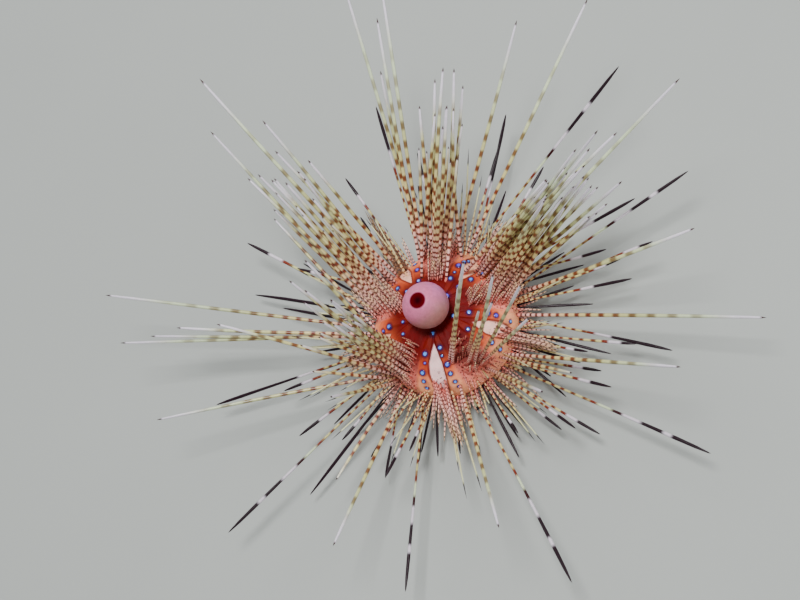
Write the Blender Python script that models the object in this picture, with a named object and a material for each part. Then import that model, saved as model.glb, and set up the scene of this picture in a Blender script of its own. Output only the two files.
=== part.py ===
"""A young blue-spotted sea urchin as a still, life-size model.

The shell's axis is upright, the floor is Z = 0 and the urchin stands on the flat ends of its
under spines. Lengths are in millimetres until a mesh is made. The shell is parted like the real
one: five narrow ambulacra and five wide interambulacra, an apical disc with the anal sac on it,
and the mouth's membrane with five teeth. Each spine is fused with the part that it grows from.
"""
import itertools
import math
import random
from collections import namedtuple

import bmesh
import bpy
import numpy as np
from mathutils import Matrix, Vector

MM = 0.001
JOINT_GAP = 0.3

# The shell's turned outline
SHELL_RADIUS = 16.6
TOP_HEIGHT = 19.6
WAIST_HEIGHT = 10.0
UNDER_HEIGHT = 4.6
CROWN_POWER = 0.74
UNDER_WIDTH_POWER = 0.6
UNDER_DROP_POWER = 0.9

# The ten segments. Angles are in degrees from +X towards +Y, and a furrow is the middle of an
# interambulacrum, bare near the top
RAYS = 5
RAY_STEP = 360 / RAYS
FIRST_FURROW = -133.0
AMBULACRUM_HALF = 12.0
INTERAMBULACRUM_HALF = 24.0
SEGMENT_RINGS = 11
SEGMENT_COLUMNS = {"ambulacrum": 4, "interambulacrum": 6}

# The apical disc above and the mouth's membrane below fill the middle of the shell
APICAL_RADIUS = 5.8
MOUTH_RADIUS = 5.5
CORE_RADIUS = 3.4
CORE_TOP = 14.2
CORE_MIDDLE = 11.5
CORE_BOTTOM = 8.6
DISC_DOME = 0.25
TURNED_STEPS = 30

# The anal sac sits on the disc, cut flat there
SAC_RADIUS = 5.05
SAC_CENTRE = Vector((-0.13, -0.42, TOP_HEIGHT + 5.25))
SAC_SEAT = TOP_HEIGHT + DISC_DOME + JOINT_GAP

LIP_RADIUS = 2.4
MOUTH_HOLE_RADIUS = 1.9
MOUTH_HOLE_DEPTH = 1.1
TOOTH_RING = 1.1
TOOTH_TIP_RING = 0.62
TOOTH_DROP = 0.75

# A spine's greatest radius by its kind, and the shares of it at its root and before its point
KINDS = {
    "fan": (0.42, 0.95, 0.78), "ringed": (0.42, 0.9, 0.92), "tipped": (0.42, 0.9, 0.92),
    "black": (0.42, 0.75, 0.9), "thin": (0.26, 1.0, 0.75), "row": (0.26, 1.0, 0.75),
    "fine": (0.22, 1.0, 0.75), "foot": (0.45, 1.0, 0.8),
}
EVEN_KINDS = ("row", "fine", "foot")
# A shorter spine of the other kinds is thinner, down to a share of that
SHORT_SHARE = 0.6
LONG_FROM = 36.0
NECK_AT = 0.88
SPINE_SIDES = 5
FOOT_SIDES = 6
SINK = 1.7
LEAST_TIP_HEIGHT = 0.9
ROOT_MARGIN = 0.3
CLEAR_OTHER_PART = 0.34
CLEAR_SAME_PART = 0.12
CLEAR_SAC = 0.9
CLEAR_STEP = 0.35
CLEAR_STEPS = 40
NUDGE_TRIES = 60
NUDGE_DEGREES = 0.1
SHORT_TRIES = 8
# A root may move this far in t and this many times the tip's sway at each try, between these
ROOT_SHIFT = 0.006
ROOT_SWAY = 4.0
ROOT_OUTLINES = (0.3, 1.5)

# The spines were read in a picture 800 wide, seen through this lens from this side. The
# picture's own turn sets the shell's axis aslant in it
PICTURE_WIDTH = 800
LENS = 85.0
LENS_FRAME = 36.0
VIEW_RISE = 62.0
VIEW_ROLL = 45.5
VIEW_DISTANCE = 410.0
VIEW_CENTRE = (433.0, 311.7)
SIGHT_STEPS = 400
SIGHT_STEP = 0.1

# The spines that stand out, by the middle of the rows that they grow in: their kind, where each
# tip shows in the picture with its height over the floor, and where the root shows
IN_VIEW = {
    47: (
        ("fan", (343, -18, 56), (420, 246)), ("fan", (385, -15, 52), (422, 246)),
        ("fan", (435, 68, 46), (428, 262)), ("fan", (441, 78, 40), (434, 263)),
        ("fan", (454, 68, 44), (445, 259)), ("fan", (463, 85, 36), (449, 254)),
        ("fan", (443, 125, 52), (433, 268)), ("fan", (517, 20, 38), (458, 248)),
        ("fan", (588, -2, 42), (468, 249)), ("fan", (447, 105, 47), (439, 268)),
        ("fan", (437, 112, 40), (430, 257)), ("fan", (430, 150, 34), (425, 254)),
        ("fan", (452, 160, 36), (443, 258)), ("fan", (440, 150, 50), (437, 270)),
        ("thin", (470, 148, 28), (459, 240)), ("thin", (483, 175, 18), (464, 246)),
        ("tipped", (376, 106, 16), (414, 243)), ("tipped", (506, 114, 12), (481, 240)),
        ("black", (418, 185, 6), (424, 240)), ("black", (507, 190, 9), (479, 252)),
        ("black", (492, 226, 7), (476, 258)),
    ),
    11: (("ringed", (613, 62, 35), (471, 252)),),
    -25: (
        ("fan", (680, 78, 54), (496, 271)), ("fan", (598, 130, 63), (488, 272)),
        ("fan", (590, 148, 50), (492, 276)), ("fan", (620, 180, 44), (512, 279)),
        ("fan", (568, 172, 48), (485, 267)), ("fan", (590, 178, 42), (503, 280)),
        ("fan", (575, 150, 56), (487, 276)), ("fan", (548, 182, 52), (484, 274)),
        ("fan", (562, 196, 44), (496, 284)), ("fan", (602, 198, 34), (514, 283)),
        ("fan", (545, 200, 58), (488, 288)), ("fan", (695, 228, 35), (517, 294)),
        ("tipped", (630, 190, 21), (515, 285)), ("ringed", (688, 168, 17), (517, 288)),
        ("tipped", (651, 239, 17), (518, 291)), ("tipped", (633, 283, 13), (522, 299)),
        ("black", (565, 252, 8), (520, 284)), ("black", (574, 285, 7), (522, 297)),
        ("black", (594, 305, 6), (520, 303)),
    ),
    -61: (
        ("fan", (766, 318, 20), (516, 311)), ("fan", (681, 367, 32), (505, 354)),
        ("fan", (572, 373, 26), (500, 357)), ("tipped", (673, 354, 8), (521, 317)),
        ("tipped", (602, 371, 16), (510, 357)), ("tipped", (612, 386, 13), (512, 361)),
        ("black", (612, 354, 6), (523, 331)), ("black", (560, 346, 5), (530, 336)),
        ("thin", (548, 350, 9), (528, 338)),
    ),
    -97: (
        ("ringed", (712, 453, 10), (505, 366)), ("tipped", (600, 435, 7), (502, 371)),
        ("tipped", (562, 430, 6), (498, 380)), ("ringed", (572, 583, 17), (472, 393)),
        ("fan", (499, 528, 35), (460, 386)), ("fan", (469, 263, 62), (457, 362)),
        ("fan", (493, 274, 60), (474, 364)), ("fan", (521, 284, 57), (478, 362)),
        ("fan", (529, 318, 54), (484, 361)), ("fan", (543, 392, 40), (487, 368)),
        ("thin", (545, 445, 9), (494, 384)), ("black", (568, 396, 5), (524, 369)),
        ("black", (528, 431, 5), (490, 388)), ("black", (528, 420, 6), (496, 381)),
    ),
    -133: (
        ("thin", (482, 492, 21), (452, 392)), ("thin", (467, 500, 14), (449, 394)),
        ("ringed", (405, 592, 14), (422, 395)), ("black", (438, 457, 5), (437, 400)),
    ),
    -169: (
        ("fan", (333, 546, 28), (404, 391)), ("fan", (336, 480, 14), (396, 389)),
        ("fan", (330, 397, 46), (399, 382)), ("fan", (322, 322, 48), (402, 367)),
        ("fan", (340, 322, 55), (406, 363)), ("fan", (318, 337, 42), (399, 371)),
        ("fan", (330, 298, 60), (405, 359)), ("fan", (352, 316, 52), (408, 366)),
        ("fan", (300, 345, 40), (396, 375)), ("fan", (312, 372, 34), (394, 379)),
        ("ringed", (228, 533, 12), (376, 391)), ("tipped", (419, 462, 7), (420, 398)),
        ("tipped", (385, 478, 6), (402, 393)), ("black", (312, 497, 5), (380, 392)),
    ),
    155: (
        ("fan", (157, 423, 24), (388, 380)), ("fan", (217, 323, 39), (388, 376)),
        ("thin", (312, 402, 12), (356, 372)), ("thin", (298, 401, 18), (354, 368)),
        ("tipped", (216, 405, 8), (351, 358)), ("black", (313, 373, 6), (354, 358)),
    ),
    119: (
        ("fan", (211, 131, 44), (374, 316)), ("fan", (203, 75, 57), (381, 288)),
        ("fan", (264, 120, 58), (386, 282)), ("fan", (280, 214, 24), (376, 312)),
        ("fan", (285, 182, 46), (384, 298)), ("fan", (275, 192, 36), (379, 303)),
        ("fan", (274, 208, 30), (377, 310)), ("fan", (302, 178, 50), (387, 292)),
        ("fan", (295, 205, 42), (382, 302)), ("fan", (312, 198, 48), (390, 288)),
        ("fan", (105, 295, 28), (365, 328)), ("fan", (120, 343, 24), (358, 335)),
        ("tipped", (250, 244, 10), (361, 304)), ("black", (255, 293, 5), (362, 306)),
        ("black", (282, 312, 7), (353, 318)), ("black", (305, 260, 12), (372, 308)),
    ),
    83: (("thin", (370, 211, 21), (404, 272)), ("thin", (385, 235, 24), (406, 274))),
}
# Spines that fill the fans, each between two of those above that stand close together
FAN_FILLS = {47: 12, -25: 24, -97: 3, -169: 6, 119: 20}
FILL_SPREAD = 15.0
FILL_APART = 9.0
FILL_SWAY = 0.02
FILL_TURN = 4.0
FILL_SHIFT = (-0.09, 0.06)
FILL_LENGTHS = (0.6, 1.0)
FILL_OUTLINES = (0.3, 1.1)
# Low spines on every segment: rises, lengths, how many and their kind
LOW_FILLS = (
    ((-4, 14), (14, 27), 2, "tipped"),
    ((-16, -2), (9, 18), 2, "black"),
    ((0, 30), (8, 20), 5, "thin"),
)
LOW_SPREAD = 18.0
LOW_SWAY = 2.0
LOW_SQUEEZE = 0.85
# Rows of small spines on each ambulacrum, longer down the shell, and the share of that length
# that they have on each
ROW_OUTLINES = (0.36, 0.48, 0.6, 0.72)
ROW_OFFSETS = (-9.5, -3.2, 3.2, 9.5)
ROW_SHARES = {47: 1.0, -25: 1.0, -97: 0.45, -169: 0.6, 119: 1.0}
ROW_LENGTH = (3.0, 9.0)
ROW_RANGE = (0.7, 1.2)
ROW_TURN = 0.7
ROW_SHIFT = 0.012
ROW_SWAY = 0.05
# A tuft below each furrow's bare leaf, wider down the shell
TUFT_SPINES = 6
TUFT_OUTLINES = (0.72, 1.0)
TUFT_HALVES = (4.0, 8.0)
TUFT_LENGTHS = (4.5, 9.5)
TUFT_RISE = 0.35
# Short spines about the waist
SHORT_FILLS = 8
SHORT_LENGTHS = (5.0, 11.0)
SHORT_OUTLINE = (0.9, 1.5)
SHORT_LEAN = 0.45
SHORT_SWAY = 0.3
UNDER_SHORT = 1.3
UNDER_SHORT_SHARE = 0.5

# The feet: under spines whose flat ends meet the floor
FOOT_OUTLINE = 1.42
FOOT_OFFSETS = (-13.0, 13.0)
FOOT_REACH = 2.6

# Where a low spine grows, by its rise over the waist
LEVEL_OUTLINE = 1.05
OUTLINE_PER_DEGREE = 0.0086
UNDER_OUTLINE_PER_DEGREE = 0.012
HIGHEST_ROOT = 0.36
LOWEST_ROOT = 1.4
# The bare fork of each furrow, with no roots of low spines on it above this outline
BARE_END = 0.86
BARE_HALF = 18.0

Spine = namedtuple("Spine", "root tip kind part")
WAIST_CENTRE = Vector((0, 0, WAIST_HEIGHT))


def turn(angle):
    """The level unit vector at an angle in degrees, from +X towards +Y."""
    return Vector((math.cos(math.radians(angle)), math.sin(math.radians(angle)), 0.0))


def aim(azimuth, rise):
    """The unit vector at an azimuth and a rise over the level, in degrees."""
    return turn(azimuth) * math.cos(math.radians(rise)) + Vector((0, 0, math.sin(math.radians(rise))))


def turned_by(angle, start):
    """How far an angle lies from another, from -180 to 180 degrees."""
    return (angle - start + 180) % 360 - 180


def azimuth_of(point):
    """The azimuth of a point about the shell's axis, in degrees."""
    return math.degrees(math.atan2(point[1], point[0]))


def rise_of(reach):
    """The rise of a reach over the level, in degrees."""
    return math.degrees(math.atan2(reach.z, math.hypot(reach.x, reach.y)))


def outline(t):
    """Radius and height of the shell: t is 0 on top, 1 at the waist and 2 under the middle."""
    if t <= 1:
        angle = t * math.pi / 2
        rise = TOP_HEIGHT - WAIST_HEIGHT
        return SHELL_RADIUS * math.sin(angle), WAIST_HEIGHT + rise * math.cos(angle) ** CROWN_POWER
    angle = min(t - 1, 1) * math.pi / 2
    drop = WAIST_HEIGHT - UNDER_HEIGHT
    radius = SHELL_RADIUS * max(math.cos(angle), 0) ** UNDER_WIDTH_POWER
    return radius, WAIST_HEIGHT - drop * math.sin(angle) ** UNDER_DROP_POWER


def outline_at(radius, under):
    """The t at which the upper or the under half of the shell has a radius."""
    low, high = (1.0, 2.0) if under else (0.0, 1.0)
    for _ in range(40):
        middle = (low + high) / 2
        if (outline(middle)[0] < radius) == under:
            high = middle
        else:
            low = middle
    return (low + high) / 2


OUTLINE_STEPS = np.linspace(0, 2, 161)
OUTLINE_LINE = np.array([outline(t) for t in OUTLINE_STEPS])
OUTLINE_RUNS = np.diff(OUTLINE_LINE, axis=0)


def place_of(point):
    """Azimuth and nearest t of a point near the shell, and its height over it, less than 0 inside."""
    spot = np.array([math.hypot(point[0], point[1]), point[2]])
    away = spot - OUTLINE_LINE[:-1]
    share = np.clip((away * OUTLINE_RUNS).sum(axis=1) / (OUTLINE_RUNS ** 2).sum(axis=1), 0, 1)
    off = away - OUTLINE_RUNS * share[:, None]
    far = np.hypot(off[:, 0], off[:, 1])
    best = int(np.argmin(far))
    run, drop = OUTLINE_RUNS[best]
    outside = off[best][1] * run - off[best][0] * drop >= 0
    t = OUTLINE_STEPS[best] + float(share[best]) * OUTLINE_STEPS[1]
    return azimuth_of(point), float(t), float(far[best]) * (1 if outside else -1)


def surface(azimuth, t):
    """The point of the shell at an azimuth and a t, and its outward normal."""
    radius, height = outline(t)
    before, after = outline(max(t - 0.01, 0)), outline(min(t + 0.01, 2))
    run, drop = after[0] - before[0], before[1] - after[1]
    normal = turn(azimuth) * drop + Vector((0, 0, run))
    return turn(azimuth) * radius + Vector((0, 0, height)), normal.normalized()


def view_axes():
    """The picture's own axes: back towards the eye, to its right and upwards."""
    rise, roll = math.radians(VIEW_RISE), math.radians(VIEW_ROLL)
    back = Vector((0, -math.cos(rise), math.sin(rise)))
    right, up = Vector((1, 0, 0)), Vector((0, math.sin(rise), math.cos(rise)))
    return (
        back, right * math.cos(roll) - up * math.sin(roll), right * math.sin(roll) + up * math.cos(roll),
    )


def sight(x, y):
    """The eye and the way from it through a place in the picture."""
    back, across, upward = view_axes()
    pixels = PICTURE_WIDTH / LENS_FRAME * LENS
    way = across * ((x - VIEW_CENTRE[0]) / pixels) - upward * ((y - VIEW_CENTRE[1]) / pixels) - back
    return Vector((0, 0, TOP_HEIGHT)) + back * VIEW_DISTANCE, way


def tip_in_view(x, y, height):
    """The point at a height over the floor that shows at a place in the picture."""
    eye, way = sight(x, y)
    return eye + way * ((height - eye.z) / way.z)


def root_in_view(x, y):
    """Azimuth and t of the shell where it shows in the picture, or of the nearest place on its rim."""
    eye, way = sight(x, y)
    start = VIEW_DISTANCE - SHELL_RADIUS
    near_rim = None
    for step in range(SIGHT_STEPS):
        azimuth, t, gap = place_of(eye + way * (start + step * SIGHT_STEP))
        if near_rim is None or gap < near_rim[2]:
            near_rim = azimuth, t, gap
        if gap <= 0:
            break
    return near_rim[:2]


def segment_at(azimuth):
    """The kind, number, middle and half width of the segment at an azimuth."""
    for number in range(1, RAYS + 1):
        furrow = FIRST_FURROW + RAY_STEP * (number - 1)
        if abs(turned_by(azimuth, furrow)) <= INTERAMBULACRUM_HALF:
            return "interambulacrum", number, furrow, INTERAMBULACRUM_HALF
        middle = furrow + RAY_STEP / 2
        if abs(turned_by(azimuth, middle)) <= AMBULACRUM_HALF:
            return "ambulacrum", number, middle, AMBULACRUM_HALF
    raise ValueError(f"no segment at {azimuth}")


def girth(kind, length):
    """The greatest radius of a spine."""
    if kind in EVEN_KINDS:
        return KINDS[kind][0]
    return KINDS[kind][0] * (SHORT_SHARE + (1 - SHORT_SHARE) * min(length / LONG_FROM, 1))


def thickness(spine, share):
    """A spine's radius at a share of its length."""
    _, root, neck = KINDS[spine.kind]
    length = (spine.tip - spine.root).length
    return girth(spine.kind, length) * (root + (neck - root) * min(share / NECK_AT, 1))


def rooted(azimuth, t, kind):
    """A root on the shell and its part, kept clear of the joints beside it."""
    name, number, middle, half = segment_at(azimuth)
    radius = outline(t)[0]
    most = half - math.degrees((KINDS[kind][0] + ROOT_MARGIN) / radius)
    offset = min(max(turned_by(azimuth, middle), -most), most)
    return surface(middle + offset, t)[0], f"{name}_{number}"


def nearest(first, second):
    """The least distance between two spines' axes, and how far along each it lies."""
    u, v, w = first.tip - first.root, second.tip - second.root, first.root - second.root
    a, b, c, d, e = u.dot(u), u.dot(v), v.dot(v), u.dot(w), v.dot(w)
    base = a * c - b * b
    s = min(max((b * e - c * d) / base, 0), 1) if base > 1e-9 else 0.0
    t = (b * s + e) / c
    if t < 0 or t > 1:
        t = min(max(t, 0), 1)
        s = min(max((b * t - d) / a, 0), 1)
    return (w + u * s - v * t).length, s, t


def clears_spines(spine, others):
    """Whether a spine keeps its distance from the ones that stand already."""
    middle, half = (spine.root + spine.tip) / 2, (spine.tip - spine.root).length / 2
    for other in others:
        reach = half + (other.tip - other.root).length / 2 + 2
        if (middle - (other.root + other.tip) / 2).length_squared > reach * reach:
            continue
        gap = CLEAR_SAME_PART if spine.part == other.part else CLEAR_OTHER_PART
        distance, here, there = nearest(spine, other)
        if distance < thickness(spine, here) + thickness(other, there) + gap:
            return False
    return True


def clears_body(spine):
    """Whether a spine keeps off the floor, the anal sac and the segments beside its own."""
    if spine.kind != "foot" and spine.tip.z < LEAST_TIP_HEIGHT:
        return False
    way = spine.tip - spine.root
    share = min(max((SAC_CENTRE - spine.root).dot(way) / way.dot(way), 0), 1)
    if (spine.root + way * share - SAC_CENTRE).length < SAC_RADIUS + CLEAR_SAC:
        return False
    middle, half = segment_at(azimuth_of(spine.root))[2:]
    room = thickness(spine, 0) + CLEAR_OTHER_PART
    for step in range(CLEAR_STEPS):
        far = step * CLEAR_STEP - SINK
        point = spine.root + way.normalized() * far
        azimuth, _, gap = place_of(point)
        if far > way.length or gap > room:
            return True
        beside = math.degrees(room / math.hypot(point.x, point.y))
        if abs(turned_by(azimuth, middle)) > half - beside:
            return False
    return False


def nudged(place, tip, kind, standing, draw, tries=NUDGE_TRIES):
    """A spine from a place on the shell to a tip, moved a little until it stands clear."""
    reach = tip - WAIST_CENTRE
    azimuth, rise = azimuth_of(reach), rise_of(reach)
    for attempt in range(tries):
        sway = NUDGE_DEGREES * attempt
        t = place[1] + draw.uniform(-1, 1) * ROOT_SHIFT * attempt
        t = min(max(t, ROOT_OUTLINES[0]), ROOT_OUTLINES[1])
        aside = draw.uniform(-ROOT_SWAY * sway, ROOT_SWAY * sway)
        root, part = rooted(place[0] + aside, t, kind)
        moved = aim(azimuth + draw.uniform(-sway, sway), rise + draw.uniform(-sway, sway))
        spine = Spine(root, WAIST_CENTRE + moved * reach.length, kind, part)
        if clears_body(spine) and clears_spines(spine, standing):
            return spine
    return None


def low_place(middle, tip, draw):
    """Azimuth and t where a low spine to a tip grows, beside the middle of its segment."""
    rise = rise_of(tip - WAIST_CENTRE)
    slope = OUTLINE_PER_DEGREE if rise > 0 else UNDER_OUTLINE_PER_DEGREE
    highest = BARE_END if segment_at(middle)[0] == "interambulacrum" else HIGHEST_ROOT
    t = min(max(LEVEL_OUTLINE - slope * rise, highest), LOWEST_ROOT)
    offset = LOW_SQUEEZE * turned_by(azimuth_of(tip), middle) + draw.uniform(-LOW_SWAY, LOW_SWAY)
    if t < BARE_END:
        most = RAY_STEP / 2 - BARE_HALF
        offset = min(max(offset, -most), most)
    return middle + offset, t


def between(spines, draw):
    """A place and a tip between two of some spines that stand close together."""
    pairs = [
        (first, second) for first, second in itertools.combinations(spines, 2)
        if math.degrees((first.tip - first.root).angle(second.tip - second.root)) < FILL_SPREAD
        and (first.root - second.root).length < FILL_APART
    ]
    first, second = draw.choice(pairs)
    share = draw.uniform(0, 1)
    azimuth, t, _ = place_of(first.root.lerp(second.root, share))
    t = min(max(t + draw.uniform(*FILL_SHIFT), FILL_OUTLINES[0]), FILL_OUTLINES[1])
    way = (first.tip - first.root).lerp(second.tip - second.root, share)
    way += Vector([draw.uniform(-FILL_SWAY, FILL_SWAY) * way.length for _ in range(3)])
    place = azimuth + draw.uniform(-FILL_TURN, FILL_TURN), t
    return place, surface(*place)[0] + way * draw.uniform(*FILL_LENGTHS)


def along_row(middle, offset, t, fans, draw):
    """Azimuth, t and tip of a small spine on an ambulacrum, along the nearest long one."""
    place = middle + offset + draw.uniform(-ROW_TURN, ROW_TURN), t + draw.uniform(-ROW_SHIFT, ROW_SHIFT)
    root = surface(*place)[0]
    near = min(fans, key=lambda spine: (spine.root - root).length)
    way = (near.tip - near.root).normalized()
    way = (way + Vector([draw.uniform(-ROW_SWAY, ROW_SWAY) for _ in range(3)])).normalized()
    length = (ROW_LENGTH[0] + ROW_LENGTH[1] * t) * draw.uniform(*ROW_RANGE) * ROW_SHARES[middle]
    return place, root + way * length


def in_tuft(furrow, draw):
    """Azimuth, t and tip of a small spine in the tuft below a furrow's leaf."""
    down = draw.uniform(0, 1)
    t = TUFT_OUTLINES[0] + (TUFT_OUTLINES[1] - TUFT_OUTLINES[0]) * down
    offset = draw.uniform(-1, 1) * (TUFT_HALVES[0] + (TUFT_HALVES[1] - TUFT_HALVES[0]) * down)
    root, normal = surface(furrow + offset, t)
    way = (normal * TUFT_RISE + turn(furrow)).normalized()
    return (furrow + offset, t), root + way * draw.uniform(*TUFT_LENGTHS)


def on_waist(middle, draw):
    """Azimuth, t and tip of a small spine about the waist."""
    azimuth, t = middle + draw.uniform(-LOW_SPREAD, LOW_SPREAD), draw.uniform(*SHORT_OUTLINE)
    sway = turn(azimuth + 90) * draw.uniform(-SHORT_SWAY, SHORT_SWAY)
    root, normal = surface(azimuth, t)
    way = (normal + turn(azimuth) * SHORT_LEAN + sway).normalized()
    share = UNDER_SHORT_SHARE if t > UNDER_SHORT else 1
    return (azimuth, t), root + way * draw.uniform(*SHORT_LENGTHS) * share


def feet():
    """The under spines that the urchin stands on."""
    found = []
    for number in range(RAYS):
        furrow = FIRST_FURROW + RAY_STEP * number
        for offset in FOOT_OFFSETS:
            root, part = rooted(furrow + offset, FOOT_OUTLINE, "foot")
            tip = root + turn(furrow + offset) * FOOT_REACH
            tip.z = 0
            found.append(Spine(root, tip, "foot", part))
    return found


def all_spines():
    """The feet, the spines in view, those that fill the fans and the small ones between."""
    draw = random.Random(7)
    standing = feet()

    def stand(place, tip, kind, tries=NUDGE_TRIES):
        spine = nudged(place, tip, kind, standing, draw, tries)
        if spine is not None:
            standing.append(spine)
        return spine

    fans = {}
    for middle, rows in IN_VIEW.items():
        own = [
            stand(root_in_view(*root), tip_in_view(*tip), kind) for kind, tip, root in rows
        ]
        fans[middle] = [spine for spine in own if spine is not None and spine.kind == "fan"]
    for middle, count in FAN_FILLS.items():
        for _ in range(count):
            stand(*between(fans[middle], draw), "fan")
    for number in range(2 * RAYS):
        middle = FIRST_FURROW + RAY_STEP / 2 * number
        for rises, lengths, count, kind in LOW_FILLS:
            for _ in range(count):
                way = aim(middle + draw.uniform(-LOW_SPREAD, LOW_SPREAD), draw.uniform(*rises))
                tip = WAIST_CENTRE + way * (SHELL_RADIUS + draw.uniform(*lengths))
                stand(low_place(middle, tip, draw), tip, kind)
        for _ in range(SHORT_FILLS):
            stand(*on_waist(middle, draw), "fine", SHORT_TRIES)
    for middle in ROW_SHARES:
        for t, offset in itertools.product(ROW_OUTLINES, ROW_OFFSETS):
            stand(*along_row(middle, offset, t, fans[middle], draw), "row", SHORT_TRIES)
    for number in range(RAYS):
        for _ in range(TUFT_SPINES):
            stand(*in_tuft(FIRST_FURROW + RAY_STEP * number, draw), "fine", SHORT_TRIES)
    return standing


def add_object(name, mesh, slot):
    """An object of the model with the material of its slot."""
    item = bpy.data.objects.new(name, mesh)
    bpy.context.scene.collection.objects.link(item)
    mesh.materials.append(slot)
    return item


def closed_mesh(name, points, faces):
    """A closed mesh from points in millimetres, with every face turned outwards."""
    form = bmesh.new()
    verts = [form.verts.new(Vector(point) * MM) for point in points]
    for face in faces:
        form.faces.new([verts[i] for i in face])
    bmesh.ops.recalc_face_normals(form, faces=form.faces)
    bmesh.ops.triangulate(form, faces=form.faces)
    mesh = bpy.data.meshes.new(name)
    form.to_mesh(mesh)
    form.free()
    return mesh


def skin_material(name, colour, roughness):
    """A plain Principled material of one colour."""
    material = bpy.data.materials.new(name)
    material.use_nodes = True
    shader = material.node_tree.nodes["Principled BSDF"]
    shader.inputs["Base Color"].default_value = (*colour, 1)
    shader.inputs["Roughness"].default_value = roughness
    shader.inputs["Metallic"].default_value = 0.0
    return material


def turned_mesh(name, profile, steps):
    """A solid turned about the axis from (radius, height) pairs that start and end on it."""
    points = [(0, 0, profile[0][1])]
    for radius, height in profile[1:-1]:
        for step in range(steps):
            spot = turn(360 / steps * step) * radius
            points.append((spot.x, spot.y, height))
    points.append((0, 0, profile[-1][1]))
    rings = len(profile) - 2
    faces = []
    for step in range(steps):
        after = (step + 1) % steps
        faces.append((0, 1 + step, 1 + after))
        for ring in range(rings - 1):
            low, high = 1 + ring * steps, 1 + (ring + 1) * steps
            faces.append((low + step, high + step, high + after, low + after))
        last = 1 + (rings - 1) * steps
        faces.append((last + step, len(points) - 1, last + after))
    return closed_mesh(name, points, faces)


def wedge_mesh(name, azimuth, half, columns):
    """One segment of the shell between two upright planes that leave half a gap each side."""
    top, bottom = outline_at(APICAL_RADIUS + JOINT_GAP, False), outline_at(MOUTH_RADIUS + JOINT_GAP, True)
    line = [outline(top + (bottom - top) * i / (SEGMENT_RINGS - 1)) for i in range(SEGMENT_RINGS)]
    inner = CORE_RADIUS + JOINT_GAP
    line += [(inner, CORE_BOTTOM), (inner, CORE_TOP)]
    points = []
    for radius, height in line:
        trim = math.degrees(math.asin(JOINT_GAP / 2 / radius))
        for column in range(columns):
            share = 2 * column / (columns - 1) - 1
            spot = turn(azimuth + share * (half - trim)) * radius
            points.append((spot.x, spot.y, height))
    count = len(line)
    faces = []
    for row in range(count):
        here, below = row * columns, (row + 1) % count * columns
        for column in range(columns - 1):
            faces.append((here + column, here + column + 1, below + column + 1, below + column))
    for column in (0, columns - 1):
        faces.append([row * columns + column for row in range(count)])
    return closed_mesh(name, points, faces)


def spine_mesh(spine):
    """A straight tapered spine, pointed, or cut off level at its tip if it is a foot."""
    foot = spine.kind == "foot"
    sides = FOOT_SIDES if foot else SPINE_SIDES
    root_radius, neck_radius = thickness(spine, 0), thickness(spine, 1)
    way = (spine.tip - spine.root).normalized()
    start = spine.root - way * SINK
    side = way.orthogonal().normalized()
    other = way.cross(side)
    neck = spine.tip if foot else spine.root.lerp(spine.tip, NECK_AT)
    points = []
    for centre, radius in ((start, root_radius), (neck, neck_radius)):
        for step in range(sides):
            angle = 2 * math.pi * step / sides
            points.append(centre + (side * math.cos(angle) + other * math.sin(angle)) * radius)
    faces = [list(range(sides))]
    for step in range(sides):
        after = (step + 1) % sides
        faces.append((step, after, sides + after, sides + step))
    if foot:
        for i in range(sides, 2 * sides):
            points[i] -= way * ((points[i].z - spine.tip.z) / way.z)
            points[i].z = 0
        faces.append(list(range(sides, 2 * sides)))
    else:
        points.append(spine.tip)
        faces += [(sides + step, sides + (step + 1) % sides, 2 * sides) for step in range(sides)]
    return closed_mesh(spine.kind, points, faces)


def keep_largest(mesh):
    """Drops all but the largest closed surface of a mesh."""
    form = bmesh.new()
    form.from_mesh(mesh)
    left, groups = set(form.verts), []
    while left:
        group, open_ends = set(), [left.pop()]
        while open_ends:
            vert = open_ends.pop()
            group.add(vert)
            for edge in vert.link_edges:
                other = edge.other_vert(vert)
                if other in left:
                    left.remove(other)
                    open_ends.append(other)
        groups.append(group)
    groups.sort(key=len)
    for group in groups[:-1]:
        bmesh.ops.delete(form, geom=list(group), context="VERTS")
    bmesh.ops.triangulate(form, faces=form.faces)
    form.to_mesh(mesh)
    form.free()


def fuse(item, meshes):
    """Joins closed meshes to an object by one union, and leaves it one closed body."""
    extras = bpy.data.collections.new(item.name + "_spines")
    bpy.context.scene.collection.children.link(extras)
    for mesh in meshes:
        extras.objects.link(bpy.data.objects.new(mesh.name, mesh))
    union = item.modifiers.new("spines", "BOOLEAN")
    union.operation = "UNION"
    union.operand_type = "COLLECTION"
    union.collection = extras
    union.solver = "EXACT"
    bpy.context.view_layer.update()
    found = item.evaluated_get(bpy.context.evaluated_depsgraph_get())
    joined = bpy.data.meshes.new_from_object(found)
    item.modifiers.clear()
    item.data = joined
    keep_largest(joined)
    for extra in list(extras.objects):
        bpy.data.objects.remove(extra)
    bpy.data.collections.remove(extras)


def make_sac(material):
    """The anal sac: a ball cut flat underneath where it sits on the disc."""
    form = bmesh.new()
    bmesh.ops.create_uvsphere(form, u_segments=20, v_segments=12, radius=SAC_RADIUS * MM)
    bmesh.ops.translate(form, verts=form.verts, vec=SAC_CENTRE * MM)
    cut = bmesh.ops.bisect_plane(
        form, geom=form.verts[:] + form.edges[:] + form.faces[:],
        plane_co=(0, 0, SAC_SEAT * MM), plane_no=(0, 0, -1), clear_outer=True,
    )
    rim = [edge for edge in cut["geom_cut"] if isinstance(edge, bmesh.types.BMEdge)]
    bmesh.ops.contextual_create(form, geom=rim)
    bmesh.ops.recalc_face_normals(form, faces=form.faces)
    bmesh.ops.triangulate(form, faces=form.faces)
    mesh = bpy.data.meshes.new("anal_sac")
    form.to_mesh(mesh)
    form.free()
    return add_object("anal_sac", mesh, material)


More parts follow.
